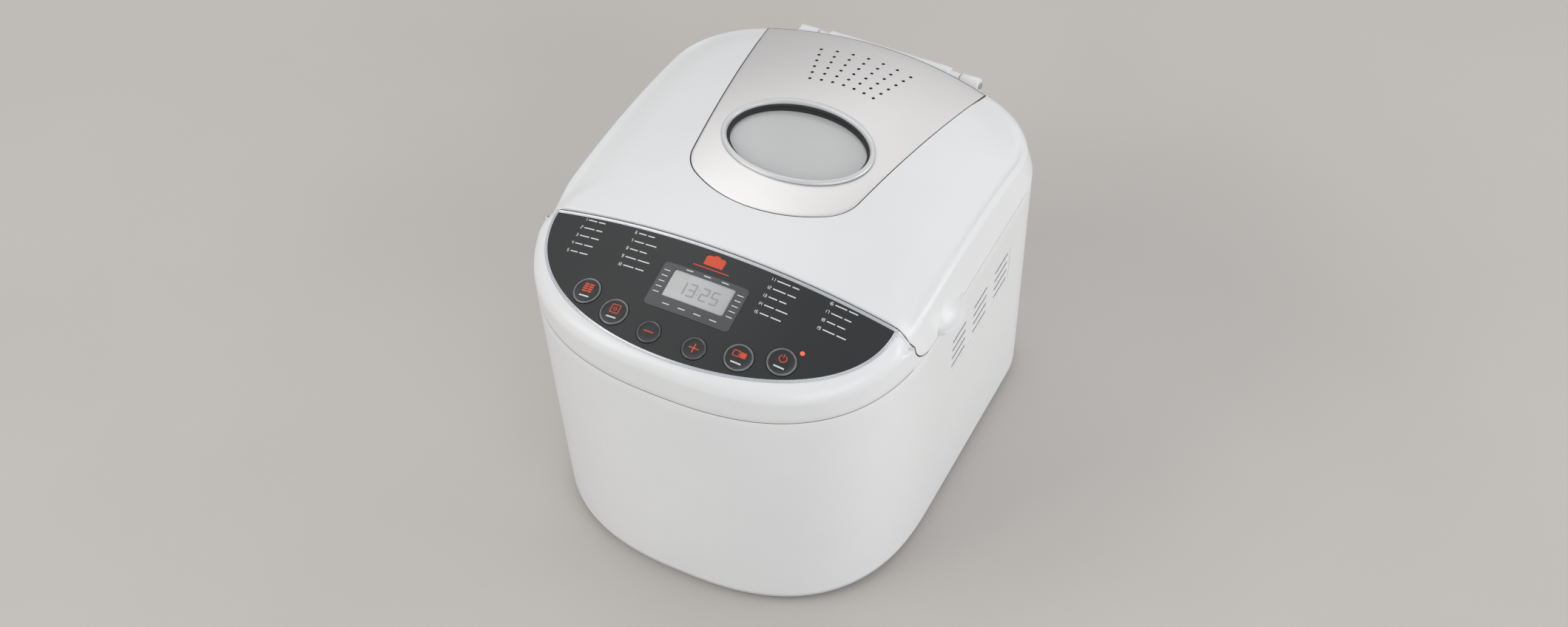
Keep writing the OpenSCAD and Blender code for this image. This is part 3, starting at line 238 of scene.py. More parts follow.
MAT = {
    "white_body": make("White satin ABS", (0.81, 0.815, 0.818), (0.78, 0.787, 0.792), (0.28, 0.38),
                       (1100, 9, 0.05), coat=0.12),
    "base_grey": make("Grey moulding", (0.22, 0.225, 0.23), (0.18, 0.185, 0.19), (0.5, 0.65), (700, 20, 0.1)),
    "black_plastic": make("Black moulding", (0.03, 0.03, 0.032), (0.022, 0.022, 0.024), (0.4, 0.55),
                          (800, 20, 0.1)),
    "rubber_black": make("Black rubber", (0.025, 0.025, 0.026), (0.04, 0.04, 0.042), (0.6, 0.8),
                         (500, 25, 0.15)),
    "rubber_grey": make("Grey silicone", (0.25, 0.25, 0.26), (0.2, 0.2, 0.21), (0.5, 0.65), (500, 25, 0.1)),
    "panel_charcoal": make("Charcoal panel film", (0.024, 0.025, 0.026), (0.019, 0.02, 0.021), (0.36, 0.46),
                           (1500, 10, 0.04)),
    "bezel_silver": make("Silver bezel", (0.62, 0.64, 0.67), (0.56, 0.58, 0.61), (0.22, 0.32),
                         (900, 20, 0.015), metal=0.35, coat=0.3),
    "screen": make("Pale display", (0.50, 0.51, 0.51), (0.46, 0.47, 0.47), (0.12, 0.2), (600, 30, 0.02),
                   coat=0.5),
    "display_surround": make("Display surround", (0.075, 0.077, 0.08), (0.062, 0.064, 0.067), (0.32, 0.42),
                             (1200, 20, 0.04), coat=0.2),
    "board": make("Circuit board", (0.02, 0.13, 0.06), (0.015, 0.1, 0.045), (0.35, 0.5), (400, 60, 0.1),
                  coat=0.3),
    "light": make("Red lens", (0.75, 0.1, 0.06), (0.65, 0.08, 0.05), (0.15, 0.25), (300, 30, 0.02),
                  glow=(1.0, 0.15, 0.08)),
    "steel": make("Brushed stainless", (0.80, 0.785, 0.775), (0.765, 0.75, 0.74), (0.40, 0.48),
                  (420, 6, 0.015), (0.12, 6, 6), metal=1.0),
    "zinc": make("Bright zinc", (0.55, 0.56, 0.58), (0.48, 0.49, 0.5), (0.28, 0.42), (300, 40, 0.08),
                 metal=1.0),
    "chamber_steel": make("Sheet steel", (0.45, 0.45, 0.45), (0.38, 0.38, 0.375), (0.32, 0.46),
                          (300, 12, 0.08), (3, 3, 20), metal=1.0),
    "nonstick": make("Non-stick coat", (0.05, 0.05, 0.052), (0.065, 0.064, 0.064), (0.35, 0.5),
                     (1300, 20, 0.12), metal=0.2),
    "element": make("Darkened sheath", (0.16, 0.15, 0.145), (0.11, 0.1, 0.1), (0.4, 0.6), (500, 50, 0.15),
                    metal=0.9),
    "ceramic": make("Glazed ceramic", (0.78, 0.75, 0.68), (0.72, 0.69, 0.62), (0.2, 0.35), (300, 40, 0.05)),
    "brass": make("Turned brass", (0.6, 0.42, 0.18), (0.5, 0.35, 0.15), (0.28, 0.4), (400, 30, 0.08),
                  (1, 1, 14), metal=1.0),
    "glass": make("Window glass", (0.71, 0.715, 0.715), (0.67, 0.675, 0.675), (0.12, 0.2), (300, 8, 0.01),
                  coat=0.4, clear=0.25),
}
PRINT_WHITE = make("White print", (0.72, 0.73, 0.74), (0.66, 0.67, 0.68), (0.45, 0.6), (900, 60, 0.04))
PRINT_ORANGE = make("Orange print", (0.72, 0.085, 0.028), (0.64, 0.07, 0.025), (0.4, 0.55), (900, 60, 0.04))
PRINT_GREY = make("Display digits", (0.3, 0.305, 0.31), (0.33, 0.335, 0.34), (0.3, 0.4), (900, 60, 0.02))
RING_SATIN = make("Satin window ring", (0.68, 0.69, 0.70), (0.64, 0.65, 0.66), (0.36, 0.44),
                  (900, 20, 0.015), metal=0.35)
RIM_DARK = make("Smoked button rim", (0.075, 0.078, 0.08), (0.06, 0.062, 0.065), (0.12, 0.22),
                (900, 40, 0.03), coat=0.5)
# The lighter rim colour below is a painted reflection, used on the outer buttons.
RIM_PAINTED_SHEEN = make("Button rim with painted reflection", (0.16, 0.165, 0.17), (0.13, 0.135, 0.14), (0.12, 0.2),
                 (900, 40, 0.03), coat=0.6)
print("materials", len(bpy.data.materials))

# %% [markdown]
# The CAD nodes that stay in the picture get their slot's material. Their tessellation is welded and shaded
# smooth below a sharp angle by a small geometry modifier, which leaves the vertices themselves alone.
# %% Carried-over nodes
SLOTS = {s["node"]: s["material_slot"] for s in frame["record"]["subparts"]}


def soften_group():
    t = bpy.data.node_groups.new("Weld and soften", "GeometryNodeTree")
    socket(t, "Geometry", "INPUT", "NodeSocketGeometry")
    socket(t, "Geometry", "OUTPUT", "NodeSocketGeometry")
    n, l = t.nodes, t.links
    gi, go = n.new("NodeGroupInput"), n.new("NodeGroupOutput")
    weld, cmp = n.new("GeometryNodeMergeByDistance"), n.new("FunctionNodeCompare")
    ang = n.new("GeometryNodeInputMeshEdgeAngle")
    faces, edges = n.new("GeometryNodeSetShadeSmooth"), n.new("GeometryNodeSetShadeSmooth")
    edges.domain = "EDGE"
    weld.inputs["Distance"].default_value = 0.000005
    cmp.operation = "LESS_THAN"
    cmp.inputs[1].default_value = math.radians(28)
    l.new(gi.outputs[0], weld.inputs["Geometry"])
    l.new(weld.outputs[0], faces.inputs["Geometry"])
    l.new(faces.outputs[0], edges.inputs["Geometry"])
    l.new(ang.outputs[0], cmp.inputs[0])
    l.new(cmp.outputs[0], edges.inputs["Shade Smooth"])
    l.new(edges.outputs[0], go.inputs[0])
    return t


SOFTEN = soften_group()
for name, o in frame["nodes"].items():
    o.data.materials.clear()
    o.data.materials.append(MAT[SLOTS[name]])
    o.modifiers.new("Weld and soften", "NODES").node_group = SOFTEN
print("dressed", len(frame["nodes"]), "nodes")

# %% [markdown]
# Helpers for new pieces. A piece is a closed mesh in the row frame: it takes a material slot, rides a CAD
# body and may stand for CAD nodes. Sharp edges are marked by angle, so that rolled edges stay smooth.
# %% Piece helpers


def piece(name, verts, faces, body, slot, mat=None, sharp=32, nodes=()):
    me = bpy.data.meshes.new(name)
    me.from_pydata([(x * MM, y * MM, z * MM) for x, y, z in verts], [], faces)
    me.validate()
    o = bpy.data.objects.new(name, me)
    bpy.context.scene.collection.objects.link(o)
    me.materials.append(mat or MAT[slot])
    me.shade_smooth()
    me.set_sharp_from_angle(angle=math.radians(sharp))
    if body:
        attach(o, body)
    if nodes:
        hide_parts(*nodes)
    return o


def face_out(verts, faces):
    v = 0.0
    for f in faces:
        a = Vector(verts[f[0]])
        for i in range(1, len(f) - 1):
            v += a.dot(Vector(verts[f[i]]).cross(Vector(verts[f[i + 1]])))
    return faces if v > 0 else [tuple(reversed(f)) for f in faces]


def rings_solid(rings, loop=False, cap_start=None, cap_end=None):
    """Skin through closed rings of equal length; loop joins the last to the first; caps are single points."""
    n, verts, faces = len(rings[0]), [p for r in rings for p in r], []
    m = len(rings)
    for k in range(m if loop else m - 1):
        for i in range(n):
            j, q = (i + 1) % n, (k + 1) % m
            faces.append((k * n + i, k * n + j, q * n + j, q * n + i))
    for cap, k in ((cap_start, 0), (cap_end, m - 1)):
        if cap is None:
            continue
        verts.append(cap)
        for i in range(n):
            j = (i + 1) % n
            tri = (k * n + j, k * n + i, len(verts) - 1)
            faces.append(tri if k == 0 else tuple(reversed(tri)))
    return verts, face_out(verts, faces)


def ribbon(rows):
    """Closed bar through a row of four-cornered sections."""
    verts, n = [p for row in rows for p in row], len(rows)
    faces = [(4 * i + j, 4 * i + (j + 1) % 4, 4 * i + 4 + (j + 1) % 4, 4 * i + 4 + j)
             for i in range(n - 1) for j in range(4)]
    faces += [(0, 1, 2, 3), (4 * n - 1, 4 * n - 2, 4 * n - 3, 4 * n - 4)]
    return verts, face_out(verts, faces)


def prism(outline, z0, z1):
    """Closed upright prism; z0 and z1 are heights or functions of x and y."""
    f0 = z0 if callable(z0) else lambda x, y: z0
    f1 = z1 if callable(z1) else lambda x, y: z1
    n = len(outline)
    verts = [(x, y, f0(x, y)) for x, y in outline] + [(x, y, f1(x, y)) for x, y in outline]
    faces = [tuple(reversed(range(n))), tuple(range(n, 2 * n))]
    faces += [(i, (i + 1) % n, n + (i + 1) % n, n + i) for i in range(n)]
    return verts, face_out(verts, faces)


def domed_prism(outline, low, high, rings=10):
    """Prism whose two ends follow height functions closely, by rings drawn in to the outline's middle."""
    cx = sum(p[0] for p in outline) / len(outline)
    cy = sum(p[1] for p in outline) / len(outline)

    def level(h, k):
        s = k / rings
        return [(cx + (x - cx) * s, cy + (y - cy) * s, h(cx + (x - cx) * s, cy + (y - cy) * s)) for x, y in outline]

    stack = [level(low, k) for k in range(1, rings + 1)] + [level(high, k) for k in range(rings, 0, -1)]
    return rings_solid(stack, cap_start=(cx, cy, low(cx, cy)), cap_end=(cx, cy, high(cx, cy)))


def merged(parts):
    verts, faces = [], []
    for v, f in parts:
        faces += [tuple(i + len(verts) for i in q) for q in f]
        verts += v
    return verts, faces


def carve(o, parts, sharp=32, own=False):
    """Cuts closed shapes out of a piece and applies the cut."""
    v, f = merged(parts)
    tool = piece("tool", v, f, None, None, mat=o.data.materials[0])
    mod = o.modifiers.new("Cut", "BOOLEAN")
    mod.operation, mod.solver, mod.object, mod.use_self = "DIFFERENCE", "EXACT", tool, own
    dg = bpy.context.evaluated_depsgraph_get()
    new = bpy.data.meshes.new_from_object(o.evaluated_get(dg))
    o.modifiers.clear()
    old, o.data = o.data, new
    bpy.data.meshes.remove(old)
    bpy.data.objects.remove(tool)
    new.shade_smooth()
    new.set_sharp_from_angle(angle=math.radians(sharp))
    return o


def oval(rx, ry, n=160, cy=WINDOW_Y):
    return [(rx * math.cos(2 * math.pi * i / n), cy + ry * math.sin(2 * math.pi * i / n)) for i in range(n)]


def box(x0, x1, y0, y1, z0, z1):
    return prism([(x0, y0), (x1, y0), (x1, y1), (x0, y1)], z0, z1)


print("helpers ready")

# %% [markdown]
# The housing is one deep moulding with 1.6 degrees of draft, a small rolled lower edge and a turned-in
# flange for the base. A loop of rings keeps it one closed wall. The side louvres sit in a very shallow
# recess, so the recess is cut first and the slots after it.
# %% Housing


def body_ring(z, side, front=None):
    lean = (PARTING_Z - z) * DRAFT
    front = side if front is None else front
    return [(x, y, z) for x, y in plan(lean + side, front)]


rings = [body_ring(z, s) for z, s in (
    (4.0, 5.2), (4.0, 3.6), (4.5, 2.5), (5.4, 1.7), (9.6, 0.25), (10.6, 0.05), (12.0, 0.0), (40, 0), (80, 0),
    (120, 0), (160, 0), (190, 0), (199.0, 0.0), (199.4, 0.12), (199.6, 0.5), (199.6, 2.6), (199.3, 3.0),
    (194.9, 3.0), (194.8, 7.0), (191.8, 7.0), (188.8, 3.0), (100, 3.0), (11.2, 3.0), (10.8, 3.4),
    (10.8, 18.0), (7.8, 18.0), (7.8, 5.2))]
v, f = rings_solid(rings, loop=True)
housing = piece("housing_shell", v, f, "base", "white_body", nodes=("outer_housing",), sharp=40)


def wall_x(z):
    return HALF_W - (PARTING_Z - z) * DRAFT


def recess(s, y0, y1, z0, z1, depth):
    pts = []
    for z in (z0, z1):
        a, b = wall_x(z) - depth, wall_x(z) + 3
        pts += [(s * a, y0, z), (s * b, y0, z), (s * b, y1, z), (s * a, y1, z)]
    q = [(0, 3, 2, 1), (4, 5, 6, 7), (0, 1, 5, 4), (1, 2, 6, 5), (2, 3, 7, 6), (3, 0, 4, 7)]
    return pts, face_out(pts, q)


shallow = [recess(s, -26.0, 73.5, 134.5, 167.0, 0.6) for s in (-1, 1)]
shallow.append(box(25.5, 46.5, 158.6, 178, 17.5, 38.5))
shallow += [box(*sorted((s * 128.0, s * (wall_x(134) - 1.5))), -27.5, 75.0, 133.0, 168.5) for s in (-1, 1)]
carve(housing, shallow, 40)
LOUVRE_Y, LOUVRE_L, LOUVRE_STEP, LOUVRE_Z, LOUVRE_DROP = -22.5, 22.0, 35.3, 162.7, 8.27


def louvre(s, g, k, a, b, half, end):
    """One louvre's box on side s, in group g and row k, from x = a to b."""
    y, z = LOUVRE_Y + g * LOUVRE_STEP, LOUVRE_Z - k * LOUVRE_DROP
    return box(*sorted((s * a, s * b)), y + end, y + LOUVRE_L - end, z - half, z + half)


slots = [louvre(s, g, k, 120, 146, 1.1, 0.0) for s in (-1, 1) for g in range(3) for k in range(4)]
hole = [(36 + 7.1 * math.cos(a * math.pi / 24), 0, 28 + 7.1 * math.sin(a * math.pi / 24)) for a in range(48)]
tube = rings_solid([[(x, 150.0, z) for x, _, z in hole], [(x, 170.0, z) for x, _, z in hole]],
                   cap_start=(36, 150.0, 28), cap_end=(36, 170.0, 28))
carve(housing, slots + [tube], 40)
# Dark boxes just inside every slot are painted shade, standing in for the shadow within the louvres.
for s, side in ((-1, "left"), (1, "right")):
    shade_boxes = []
    for g in range(3):
        for k in range(4):
            x = wall_x(LOUVRE_Z - k * LOUVRE_DROP) - 0.6
            shade_boxes.append(louvre(s, g, k, x - 1.6, x - 0.5, 1.08, 0.02))
    piece("louvre_shade_" + side, *merged(shade_boxes), "base", "black_plastic", sharp=30)
print("housing faces", len(housing.data.polygons))

# %% [markdown]
# A joint between two mouldings reads as a thin dark line, because little light gets into it. A narrow grey strip set
# just inside the gap at the parting line is painted shade: it darkens the gap without making the gap any wider.
# %% Parting strip, painted shade
strip = [[(x, y, z) for x, y in plan(inset, inset)] for z, inset in (
    (199.62, 0.12), (200.34, 0.12), (200.34, 2.4), (199.62, 2.4))]
v, f = rings_solid(strip, loop=True)
piece("parting_shade_strip", v, f, "base", "rubber_grey", sharp=30)
print("strip faces", len(f))

# %% [markdown]
# The lid is a thin domed moulding. Its height is one function of place: the dome, a soft fall towards the
# sides with a raised ridge, and a rolled edge whose radius grows at the front corners and along the rear.
# Rings at chosen distances from the edge sample that function, then run down the leaning side wall and
# back up inside, so that the lid stays a closed shell of even thickness.
# %% Lid shell
FLANGE_IN = 4.0
SWEEP_Y, SWEEP_R = -61.5, 21.0
SWEEP_Z = LID_Z0 + SWEEP_R


def edge_gap(x, y):
    """Distance from the lid's upper outline, which stands FLANGE_IN inside the body's plan."""
    x = abs(x)
    if y < CORNER_Y:
        return side_x(y, 0) - x - FLANGE_IN
    dx, dy = x - CORNER_X, y - CORNER_Y
    if dx > 0 and math.degrees(math.atan2(dy, dx)) < CORNER_A:
        return CORNER_R - math.hypot(dx, dy) - FLANGE_IN
    return REAR_R - math.hypot(x, y - REAR_CY) - FLANGE_IN


def lid_top(x, y):
    d = max(0.0, edge_gap(x, y))
    at_side = 1 - smooth(95, 150, y)
    fall = 4.2 * smooth(30 - 16 * smooth(-50, -80, y), 3, d) * (0.25 + 0.75 * at_side)
    ridge = 1.0 * math.exp(-((d - 3.0) / 1.5) ** 2) - 0.6 * math.exp(-((d - 8.0) / 3.2) ** 2)
    ridge *= at_side * smooth(-82, -62, y)
    front_round = 6.0 * smooth(-50, -78, y)
    r = 2.6 * at_side + 9.0 * (1 - at_side) + front_round
    z = dome(x, y) - fall + ridge - roll(d, r)
    return z - roll(y - LID_FRONT, 1.2)


def lid_outline(inset, front):
    y0 = LID_FRONT + front
    ys = [y0 + (CORNER_Y - y0) * (j / 70) ** 1.35 for j in range(70)]
    right = [(side_x(y, inset), y) for y in ys]
    back = rear_half(inset)
    left = [(-x, y) for x, y in reversed(right)]
    xe = right[0][0]
    front_pts = [(-xe + 2 * xe * i / 90, y0) for i in range(1, 90)]
    return right + back + left + front_pts


def lid_bottom(x, y):
    """The lower edge is flat, and sweeps up in a quarter round of SWEEP_R at both front corners."""
    past = max(0.0, SWEEP_Y - y)
    rise = SWEEP_R - math.sqrt(max(0.0, SWEEP_R ** 2 - past ** 2))
    return LID_Z0 + rise * smooth(131.5, 133.5, abs(x))


INSETS = [58, 48, 40, 34, 30, 26, 22, 18, 15, 12, 10, 8.4, 7, 5.8, 4.8, 4, 3.2, 2.5, 1.9, 1.4,
          0.9, 0.5, 0.22, 0.06, 0]


def lid_mesh():
    """Closed shell: outer top, leaning side wall, rim, inner wall and inner top."""
    mid = (0.0, 40.0)

    def lifted(pts, drop):
        return [(x, y, lid_top(x, y) - drop) for x, y in pts]

    outer = [lid_outline(FLANGE_IN + d, d) for d in INSETS]
    rings = []
    for s in (0.12, 0.3, 0.5, 0.7, 0.86):
        rings.append(lifted([(mid[0] + (x - mid[0]) * s, mid[1] + (y - mid[1]) * s) for x, y in outer[0]], 0))
    rings += [lifted(o, 0) for o in outer]
    for q in (0.08, 0.25, 0.5, 0.75, 0.93, 1.0):
        edge = lid_outline(FLANGE_IN * (1 - q), 0)
        low = [lid_bottom(x, y) for x, y in edge]
        high = [lid_top(x, y) for x, y in outer[-1]]
        rings.append([(x, y, h + (b - h) * q) for (x, y), h, b in zip(edge, high, low)])
    inner = lid_outline(LID_WALL, LID_WALL)
    rings.append([(x, y, lid_bottom(x, y)) for x, y in inner])
    up = lid_outline(FLANGE_IN + LID_WALL, LID_WALL)
    rings.append([(x, y, min(lid_top(x, y), dome(x, y) - 3) - LID_WALL - 2.0) for x, y in up])
    for d in (12, 22, 34, 58):
        pts = lid_outline(FLANGE_IN + d, d)
        rings.append(lifted(pts, LID_WALL))
    for s in (0.8, 0.5, 0.2):
        rings.append(lifted([(mid[0] + (x - mid[0]) * s, mid[1] + (y - mid[1]) * s) for x, y in pts], LID_WALL))
    crown = lid_top(*mid)
    return rings_solid(rings, cap_start=(*mid, crown), cap_end=(*mid, crown - LID_WALL))


v, f = lid_mesh()
lid = piece("lid_cover", v, f, "lid", "white_body", nodes=("lid_shell",), sharp=36)
print("lid faces", len(lid.data.polygons))

# %% [markdown]
# The insert's outline has a bowed rear edge, straight sides that converge forwards, round front corners and
# a bowed front. The same outline, a little larger, cuts its pocket in the lid.
# %% Insert outline
IN_HW, IN_FRONT, IN_REAR, TAPER, FRONT_R, IN_CR, IN_RR = 85.6, -44.5, 144.5, 0.154, 87.0, 30.0, 344.0


def insert_outline(g):
    n0 = math.hypot(TAPER, 1)
    dx, dy = TAPER / n0, 1 / n0
    nx, ny = dy, -dx
    cy = IN_FRONT + FRONT_R
    qx, qy = IN_HW - IN_CR * nx, IN_REAR - IN_CR * ny - cy
    dot = qx * dx + qy * dy
    s = -dot - math.sqrt(dot * dot - qx * qx - qy * qy + (FRONT_R - IN_CR) ** 2)
    kx, ky = qx + s * dx, cy + qy + s * dy
    a0 = math.degrees(math.atan2(ky - cy, kx))
    a1 = math.degrees(math.atan2(ny, nx))
    rear_c = IN_REAR - math.sqrt(IN_RR ** 2 - IN_HW ** 2)
    ra = math.degrees(math.acos((IN_HW + g) / (IN_RR + g)))
    pts = arc(0, cy, FRONT_R + g, -180 - a0, a0, 60)
    pts += arc(kx, ky, IN_CR + g, a0, a1, 26, 1)
    e, b = pts[-1], arc(0, rear_c, IN_RR + g, ra, 180 - ra, 70)
    pts += [(e[0] + (b[0][0] - e[0]) * i / 40, e[1] + (b[0][1] - e[1]) * i / 40) for i in range(1, 40)]
    pts += b
    c = arc(-kx, ky, IN_CR + g, 180 - a1, 180 - a0, 26)
    e = pts[-1]
    pts += [(e[0] + (c[0][0] - e[0]) * i / 40, e[1] + (c[0][1] - e[1]) * i / 40) for i in range(1, 40)]
    return pts + c[:-1]


pocket = domed_prism(insert_outline(0.85), lambda x, y: dome(x, y) - 1.15, lambda x, y: dome(x, y) + 6, 12)
carve(lid, [pocket], 36)
vent = arc(0, 2.3, 137.0, 71.5, 108.5, 24) + arc(0, 2.3, 87.4, 108.5, 71.5, 24)
carve(lid, [prism(oval(51.5, 37.1), 205, 262), prism(vent, 205, 262)], 36)
print("lid cut", len(lid.data.polygons))
# The dark strip at the bottom of the gap round the insert is painted shade in the groove.
groove = [[(x, y, dome(x, y) - drop) for x, y in insert_outline(g)] for g, drop in (
    (0.04, 0.5), (0.8, 0.5), (0.8, 1.1), (0.04, 1.1))]
v, f = rings_solid(groove, loop=True)
piece("insert_groove_shade", v, f, "lid", "rubber_black", sharp=30)

# %% [markdown]
# The insert is 0.9 mm brushed stainless sheet pressed to the dome. It is skinned between its outline and
# the window opening, with a fine turned edge, and the 42 vent holes are punched through it.
# %% Steel insert
outer_pts = insert_outline(0.0)
hole_pts = []
for x, y in outer_pts:
    a = math.atan2((y - WINDOW_Y) / 37.0, x / 51.4)
    hole_pts.append((51.4 * math.cos(a), WINDOW_Y + 37.0 * math.sin(a)))


def between(s, drop):
    ring = []
    for (a, b), (c, d) in zip(outer_pts, hole_pts):
        x, y = a + (c - a) * s, b + (d - b) * s
        ring.append((x, y, dome(x, y) - drop))
    return ring


stack = [between(0.0, 0.86), between(0.0, 0.25), between(0.004, 0.06)]
stack += [between(0.012 + 0.988 * k / 12, 0.0) for k in range(13)]
stack += [between(1.0, 0.86)] + [between(1 - k / 4, 0.86) for k in range(1, 4)]
v, f = rings_solid(stack, loop=True)
insert = piece("steel_insert", v, f, "lid", "steel", nodes=("lid_insert",), sharp=45)
drills = []
for i in range(6):
    for j in range(7):
        a = math.radians(90 + (j - 3) * 5.15)
        cx, cy = (92.4 + 7.97 * i) * math.cos(a), 2.3 + (92.4 + 7.97 * i) * math.sin(a)
        circle = [(cx + 1.25 * math.cos(t * math.pi / 12), cy + 1.25 * math.sin(t * math.pi / 12)) for t in range(24)]
        drills.append(prism(circle, 225, 262))
carve(insert, drills, 45)
print("insert faces", len(insert.data.polygons), "holes", len(drills))

# %% [markdown]
# The window ring is a moulded bead: a narrow outer foot, a rounded crest and a long inner bevel down to
# the gasket. One profile is swept round the oval and follows the dome.
# %% Window ring


def sweep_oval(profile, rx, ry, n=200):
    rings = []
    for out, up in profile:
        ring = []
        for i in range(n):
            a = 2 * math.pi * i / n
            nx, ny = math.cos(a) / rx, math.sin(a) / ry
            k = math.hypot(nx, ny)
            x, y = rx * math.cos(a), WINDOW_Y + ry * math.sin(a)
            ring.append((x + out * nx / k, y + out * ny / k, dome(x, y) + up))
        rings.append(ring)
    return rings_solid(rings, loop=True)


RING = [(5.3, 0.12), (5.4, 0.9), (5.2, 1.5), (4.7, 2.0), (4.0, 2.3), (3.2, 2.38), (2.6, 2.3), (2.05, 1.95),
        (1.65, 1.3), (1.45, 0.5), (1.35, -0.5), (1.3, -1.2), (1.3, -3.7), (1.75, -3.7), (1.8, 0.12)]
v, f = sweep_oval(RING, 49.8, 35.4)
piece("window_bead", v, f, "lid", "white_body", mat=RING_SATIN, nodes=("window_ring",), sharp=50)
LIP = [(0.2, -6.55), (-0.2, -6.35), (-1.0, -6.3), (-1.5, -6.45), (-1.6, -6.6), (-1.6, -6.9), (0.2, -6.95)]
v, f = sweep_oval(LIP, 49.4, 35.0)
piece("glass_seat", v, f, "lid", "bezel_silver", sharp=50)
SLEEVE = [(1.28, -0.3), (0.9, -0.5), (0.6, -1.4), (0.35, -3.2), (0.22, -5.4), (0.2, -6.3), (1.1, -6.3), (1.26, -3.4)]
v, f = sweep_oval(SLEEVE, 49.8, 35.4)
piece("window_sleeve", v, f, "lid", "rubber_black", sharp=50)
print("window ring swept")

# %% [markdown]
# The lift tabs are small half-round lobes on both sides of the lid, scooped on top for a thumb and blended
# up into the side wall. The hinge barrel runs along the back and is webbed to the lid's rear wall.
# %% Tabs and barrel
for s, side in ((-1, "left"), (1, "right")):
    verts, faces, nu, nq = [], [], 40, 12
    for k in range(nu + 1):
        t = -1 + 2 * k / nu
        u = (1 - t) / 2
        swell = math.sin(math.pi / 2 * u / 0.6) ** 1.2 if u < 0.6 else math.sqrt(max(0.0, 1 - ((u - 0.6) / 0.4) ** 2))
        reach = 9.9 * swell + 0.05
        y = -31 + 20 * t
        for q in range(nq + 1):
            w = q / nq
            x = side_x(y, 0) - 3.4 + (reach + 3.4) * w
            scoop = 15.0 * swell ** 1.5 * (1 - w) ** 2.2
            verts.append((s * x, y, 204.6 + scoop - 0.9 * smooth(0.86, 1.0, w)))
        for q in range(nq + 1):
            w = 1 - q / nq
            verts.append((s * (side_x(y, 0) - 3.4 + (reach + 3.4) * w), y, 201.1 + 0.7 * smooth(0.86, 1.0, w)))
    m = 2 * (nq + 1)
    for k in range(nu):
        for q in range(m):
            faces.append((k * m + q, k * m + (q + 1) % m, (k + 1) * m + (q + 1) % m, (k + 1) * m + q))
    faces += [tuple(range(m)), tuple(reversed(range(nu * m, (nu + 1) * m)))]
    piece("lift_tab_" + side, verts, face_out(verts, faces), "lid", "white_body", sharp=40)


def turned(profile):
    """A solid of revolution about the hinge's axis, from a profile of x and radius."""
    rings = []
    for x, r in profile:
        turns = [a * math.pi / 32 for a in range(64)]
        rings.append([(x, HINGE_Y + r * math.cos(a), HINGE_Z + r * math.sin(a)) for a in turns])
    x0, x1 = profile[0][0], profile[-1][0]
    return rings_solid(rings, cap_start=(x0, HINGE_Y, HINGE_Z), cap_end=(x1, HINGE_Y, HINGE_Z))


half = [(-56.4, 4.5), (-56.1, 4.8), (-48.4, 4.8), (-48.0, 6.2), (-47.6, 6.8), (-46.8, 7.0)]
v, f = turned(half + [(-x, r) for x, r in reversed(half)])
piece("hinge_barrel", v, f, "lid", "white_body", sharp=40)
web = [(-45, 158.5), (45, 158.5), (45, 167), (-45, 167)]
v, f = prism(web, 207.2, 219.5)
piece("barrel_web", v, f, "lid", "white_body")
print("tabs and barrel")

# %% [markdown]
# Two ears on the housing carry the hinge pins. Each is a slim plate standing against the rear wall, round
# about the pin and tapering into the housing below, with its long edges eased so that they catch the light.
# %% Hinge ears
EAR_R, EAR_IN, EAR_OUT, EAR_EASE = 5.5, 57.3, 71.7, 0.7


def ear_profile(ease):
    pts = [(162.6 + ease, 200.2), (159.0, 199.2), (159.0, 178.0), (162.0, 176.5 + ease), (173.0 - ease, 207.5)]
    return pts + arc(HINGE_Y, HINGE_Z, EAR_R - ease, 0, 180, 24)


for s, side in ((-1, "left"), (1, "right")):
    rings = []
    for x, ease in ((EAR_IN, EAR_EASE), (EAR_IN + 0.2, 0.3), (EAR_IN + EAR_EASE, 0.0), (EAR_OUT - EAR_EASE, 0.0),
                    (EAR_OUT - 0.2, 0.3), (EAR_OUT, EAR_EASE)):
        rings.append([(s * x, y, z) for y, z in ear_profile(ease)])
    v, f = rings_solid(rings, cap_start=(s * EAR_IN, 165.0, 196.0), cap_end=(s * EAR_OUT, 165.0, 196.0))
    piece("ear_" + side, v, f, "base", "white_body", sharp=40, nodes=("hinge_ears",) if s < 0 else ())
print("ears", round(EAR_OUT - EAR_IN, 1), "mm wide")

# %% [markdown]
# The control shroud carries on the body's shape in front of the lid. It is a second closed shell of rings,
# with the sloping deck as its height and a wide rolled edge. Then it is cut for the panel and its ledge.
# A heel on each side fills the quarter round that the lid leaves free, and thin dark strips in the seams are painted
# shade.
# %% Control shroud


def deck_top(x, y):
    u = max(0.0, BOW_Y - y) / BOW_D
    w = abs(x) / HALF_W
    rho = (w ** BOW_N + u ** BOW_N) ** (1 / BOW_N)
    if rho > 0:
        ex, ey = w / rho * HALF_W, u / rho * BOW_D
        gx, gy = (ex / HALF_W) ** (BOW_N - 1) / HALF_W, (ey / BOW_D) ** (BOW_N - 1) / BOW_D
        gn = math.hypot(gx, gy)
        d = (1 - rho) * (ex * gx + ey * gy) / gn
    else:
        d = 99
    d = max(0.0, d)
    z = deck(x, y) - roll(d, 8.5) - 0.25 * math.exp(-((d - 10.5) / 1.2) ** 2)
    level = min(z, lid_top(x, LID_FRONT + 1.3) + 0.2)
    z += (level - z) * smooth(-106, -84, y) * smooth(126.5, 129.5, abs(x))
    return z - roll(SHROUD_BACK - y, 0.5)


def shroud_outline(inset, back):
    y1 = SHROUD_BACK - back * 0.6
    lo = -math.degrees(math.asin(min(1.0, ((BOW_Y - y1) / (BOW_D - inset)) ** (BOW_N / 2))))
    pts = []
    for i in range(201):
        a = math.radians(180 - lo + (180 + 2 * lo) * i / 200)
        pts.append(((HALF_W - inset) * bend(math.cos(a)), BOW_Y - (BOW_D - inset) * abs(bend(math.sin(a)))))
    x0 = pts[-1][0]
    pts += [(x0 - 2 * x0 * i / 60, y1) for i in range(1, 60)]
    return pts


